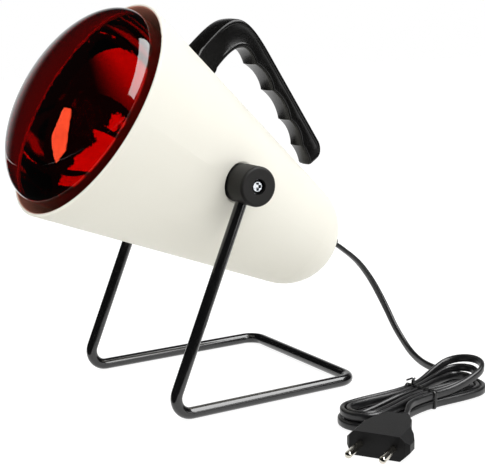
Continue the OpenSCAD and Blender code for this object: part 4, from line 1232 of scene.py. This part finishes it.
def build_bulb():
    """The reflector bulb: ruby glass, the mirror inside its flank, and a coiled filament."""
    sizes = bpy.context.scene.heat_lamp_sizes
    wall = sizes.glass_wall / MM
    dome = [90 - 90 * i / GLASS_STEPS for i in range(1, GLASS_STEPS)]
    flank = [i / GLASS_STEPS for i in range(GLASS_STEPS + 1)]
    outside = [(0, BULB_AHEAD + DOME_H)] + [dome_point(a, 0) for a in dome] + [
        flank_point(t, 0) for t in flank
    ]
    neck = [(NECK_R, -20), (CAP_ROOT_R - 0.5, CAP_TOP + 1), (CAP_ROOT_R - 0.5, CAP_TOP - 3),
            (CAP_ROOT_R - 1.5, CAP_TOP - 3), (CAP_ROOT_R - 1.5, CAP_TOP + 1.5), (NECK_R - wall, -20.5)]
    inside = [
        flank_point(t, wall) for t in flank[::-1]
    ] + [dome_point(a, wall) for a in dome[::-1]] + [(0, BULB_AHEAD + DOME_H - wall)]
    glass = lathe("ruby_bulb", outside + neck + inside, ON_AXIS, 192, 30)
    finished(glass, finish_of("ruby_glass"), "ruby_glass", "bulb", "bulb_glass")

    covered = flank[1 : GLASS_STEPS - 10]
    coat = [flank_point(t, wall + 0.05) for t in covered] + [
        flank_point(t, wall + 0.35) for t in covered[::-1]
    ]
    mirror = lathe("reflector_coat", coat, ON_AXIS, 192, 40)
    finished(mirror, finish_of("mirror_coat"), "mirror_coat", "bulb", "bulb_mirror")

    tree, turns = filament_tree(finish_of("tungsten"))
    wound = grown("filament_coil", tree, {turns: sizes.filament_turns})
    at_rest = ON_AXIS @ Matrix.Translation((0, 0, FILAMENT_A)) @ Matrix.Rotation(math.radians(25), 4, "Z")
    wound.transform(in_metres(at_rest))
    coil = bpy.data.objects.new("filament_coil", wound)
    bpy.context.scene.collection.objects.link(coil)
    wound.shade_smooth()
    finished(coil, finish_of("tungsten"), "tungsten", "bulb", "bulb_filament")

    dress(finish_of("cap_metal"), "bulb_cap")
    dress(finish_of("black_glass"), "bulb_insulator")
    dress(finish_of("solder"), "bulb_tip_contact")
    dress(finish_of("clear_glass"), "bulb_stem")
    dress(finish_of("molybdenum"), "bulb_supports")


# ---- Operators ----


class HEATLAMP_OT_stage(bpy.types.Operator):
    """Make the floor, the lamps and the camera"""

    bl_idname = "heatlamp.stage"
    bl_label = "Stage"

    def execute(self, context):
        build_stage()
        return {"FINISHED"}


class HEATLAMP_OT_cord(bpy.types.Operator):
    """Make the flat cord with its hank, the wire tie and the plug"""

    bl_idname = "heatlamp.cord"
    bl_label = "Cord, tie and plug"

    def execute(self, context):
        cord, line = build_cord()
        pieces = [build_tie(), *build_plug(), NODES["plug_pins"]]
        return {"FINISHED"}


class HEATLAMP_OT_housing(bpy.types.Operator):
    """Finish the housing and the cord's way into it"""

    bl_idname = "heatlamp.housing"
    bl_label = "Housing"

    def execute(self, context):
        dress(finish_of("white_plastic"), "housing_shell", "cord_clamp")
        # paints red-brown shade and red light onto the inside of the mouth
        paint_red_shade_inside(finish_of("white_plastic"))
        dress(finish_of("cord_pvc"), "cord_bushing", "cord_inner_end")
        dress(finish_of("zinc_steel"), "clamp_screws")
        return {"FINISHED"}


class HEATLAMP_OT_stand(bpy.types.Operator):
    """Finish the bent-rod stand and its pivots"""

    bl_idname = "heatlamp.stand"
    bl_label = "Stand and pivots"

    def execute(self, context):
        dress(finish_of("rod_enamel"), "stand_rod")
        dress(finish_of("black_plastic"), "pivot_knob_right", "pivot_knob_left", "pivot_spacers")
        dress(finish_of("zinc_steel"), "friction_washers", "pivot_screws", "pivot_washers", "pivot_nuts")
        return {"FINISHED"}


class HEATLAMP_OT_handle(bpy.types.Operator):
    """Make the carrying handle"""

    bl_idname = "heatlamp.handle"
    bl_label = "Handle"

    def execute(self, context):
        build_handle()
        return {"FINISHED"}


class HEATLAMP_OT_holder(bpy.types.Operator):
    """Finish the lamp holder, its bracket and its wires"""

    bl_idname = "heatlamp.holder"
    bl_label = "Lamp holder"

    def execute(self, context):
        dress(finish_of("porcelain"), "holder_body")
        dress(finish_of("nickel_brass"), "holder_screw_shell")
        dress(finish_of("brass"), "holder_contact", "holder_terminals")
        dress(finish_of("zinc_steel"), "holder_bracket", "bracket_screws", "holder_screws")
        dress(finish_of("wire_brown"), "wire_live")
        dress(finish_of("wire_blue"), "wire_neutral")
        return {"FINISHED"}


class HEATLAMP_OT_bulb(bpy.types.Operator):
    """Make the reflector bulb"""

    bl_idname = "heatlamp.bulb"
    bl_label = "Bulb"

    def execute(self, context):
        build_bulb()
        return {"FINISHED"}


OPERATORS = (
    HEATLAMP_OT_stage,
    HEATLAMP_OT_cord,
    HEATLAMP_OT_housing,
    HEATLAMP_OT_stand,
    HEATLAMP_OT_handle,
    HEATLAMP_OT_holder,
    HEATLAMP_OT_bulb,
)


class HEATLAMP_PT_panel(bpy.types.Panel):
    """Lists the lamp's pieces and sizes"""

    bl_idname = "HEATLAMP_PT_panel"
    bl_label = "Heat Lamp"
    bl_space_type = "VIEW_3D"
    bl_region_type = "UI"
    bl_category = "Heat Lamp"

    def draw(self, context):
        for group in (context.scene.heat_lamp_sizes, context.scene.heat_lamp_finishes):
            for key in group.__annotations__:
                self.layout.prop(group, key)
        for operator in OPERATORS:
            self.layout.operator(operator.bl_idname)


CLASSES = (HeatLampSizes, HeatLampFinishes, *OPERATORS, HEATLAMP_PT_panel)


def register():
    for made in CLASSES:
        bpy.utils.register_class(made)
    bpy.types.Scene.heat_lamp_sizes = PointerProperty(type=HeatLampSizes)
    bpy.types.Scene.heat_lamp_finishes = PointerProperty(type=HeatLampFinishes)


def unregister():
    del bpy.types.Scene.heat_lamp_finishes
    del bpy.types.Scene.heat_lamp_sizes
    for made in reversed(CLASSES):
        bpy.utils.unregister_class(made)


def main():
    """Makes every piece in order."""
    register()
    for made in ("stage", "cord", "housing", "stand", "handle", "holder", "bulb"):
        getattr(bpy.ops.heatlamp, made)()


if __name__ == "__main__":
    main()
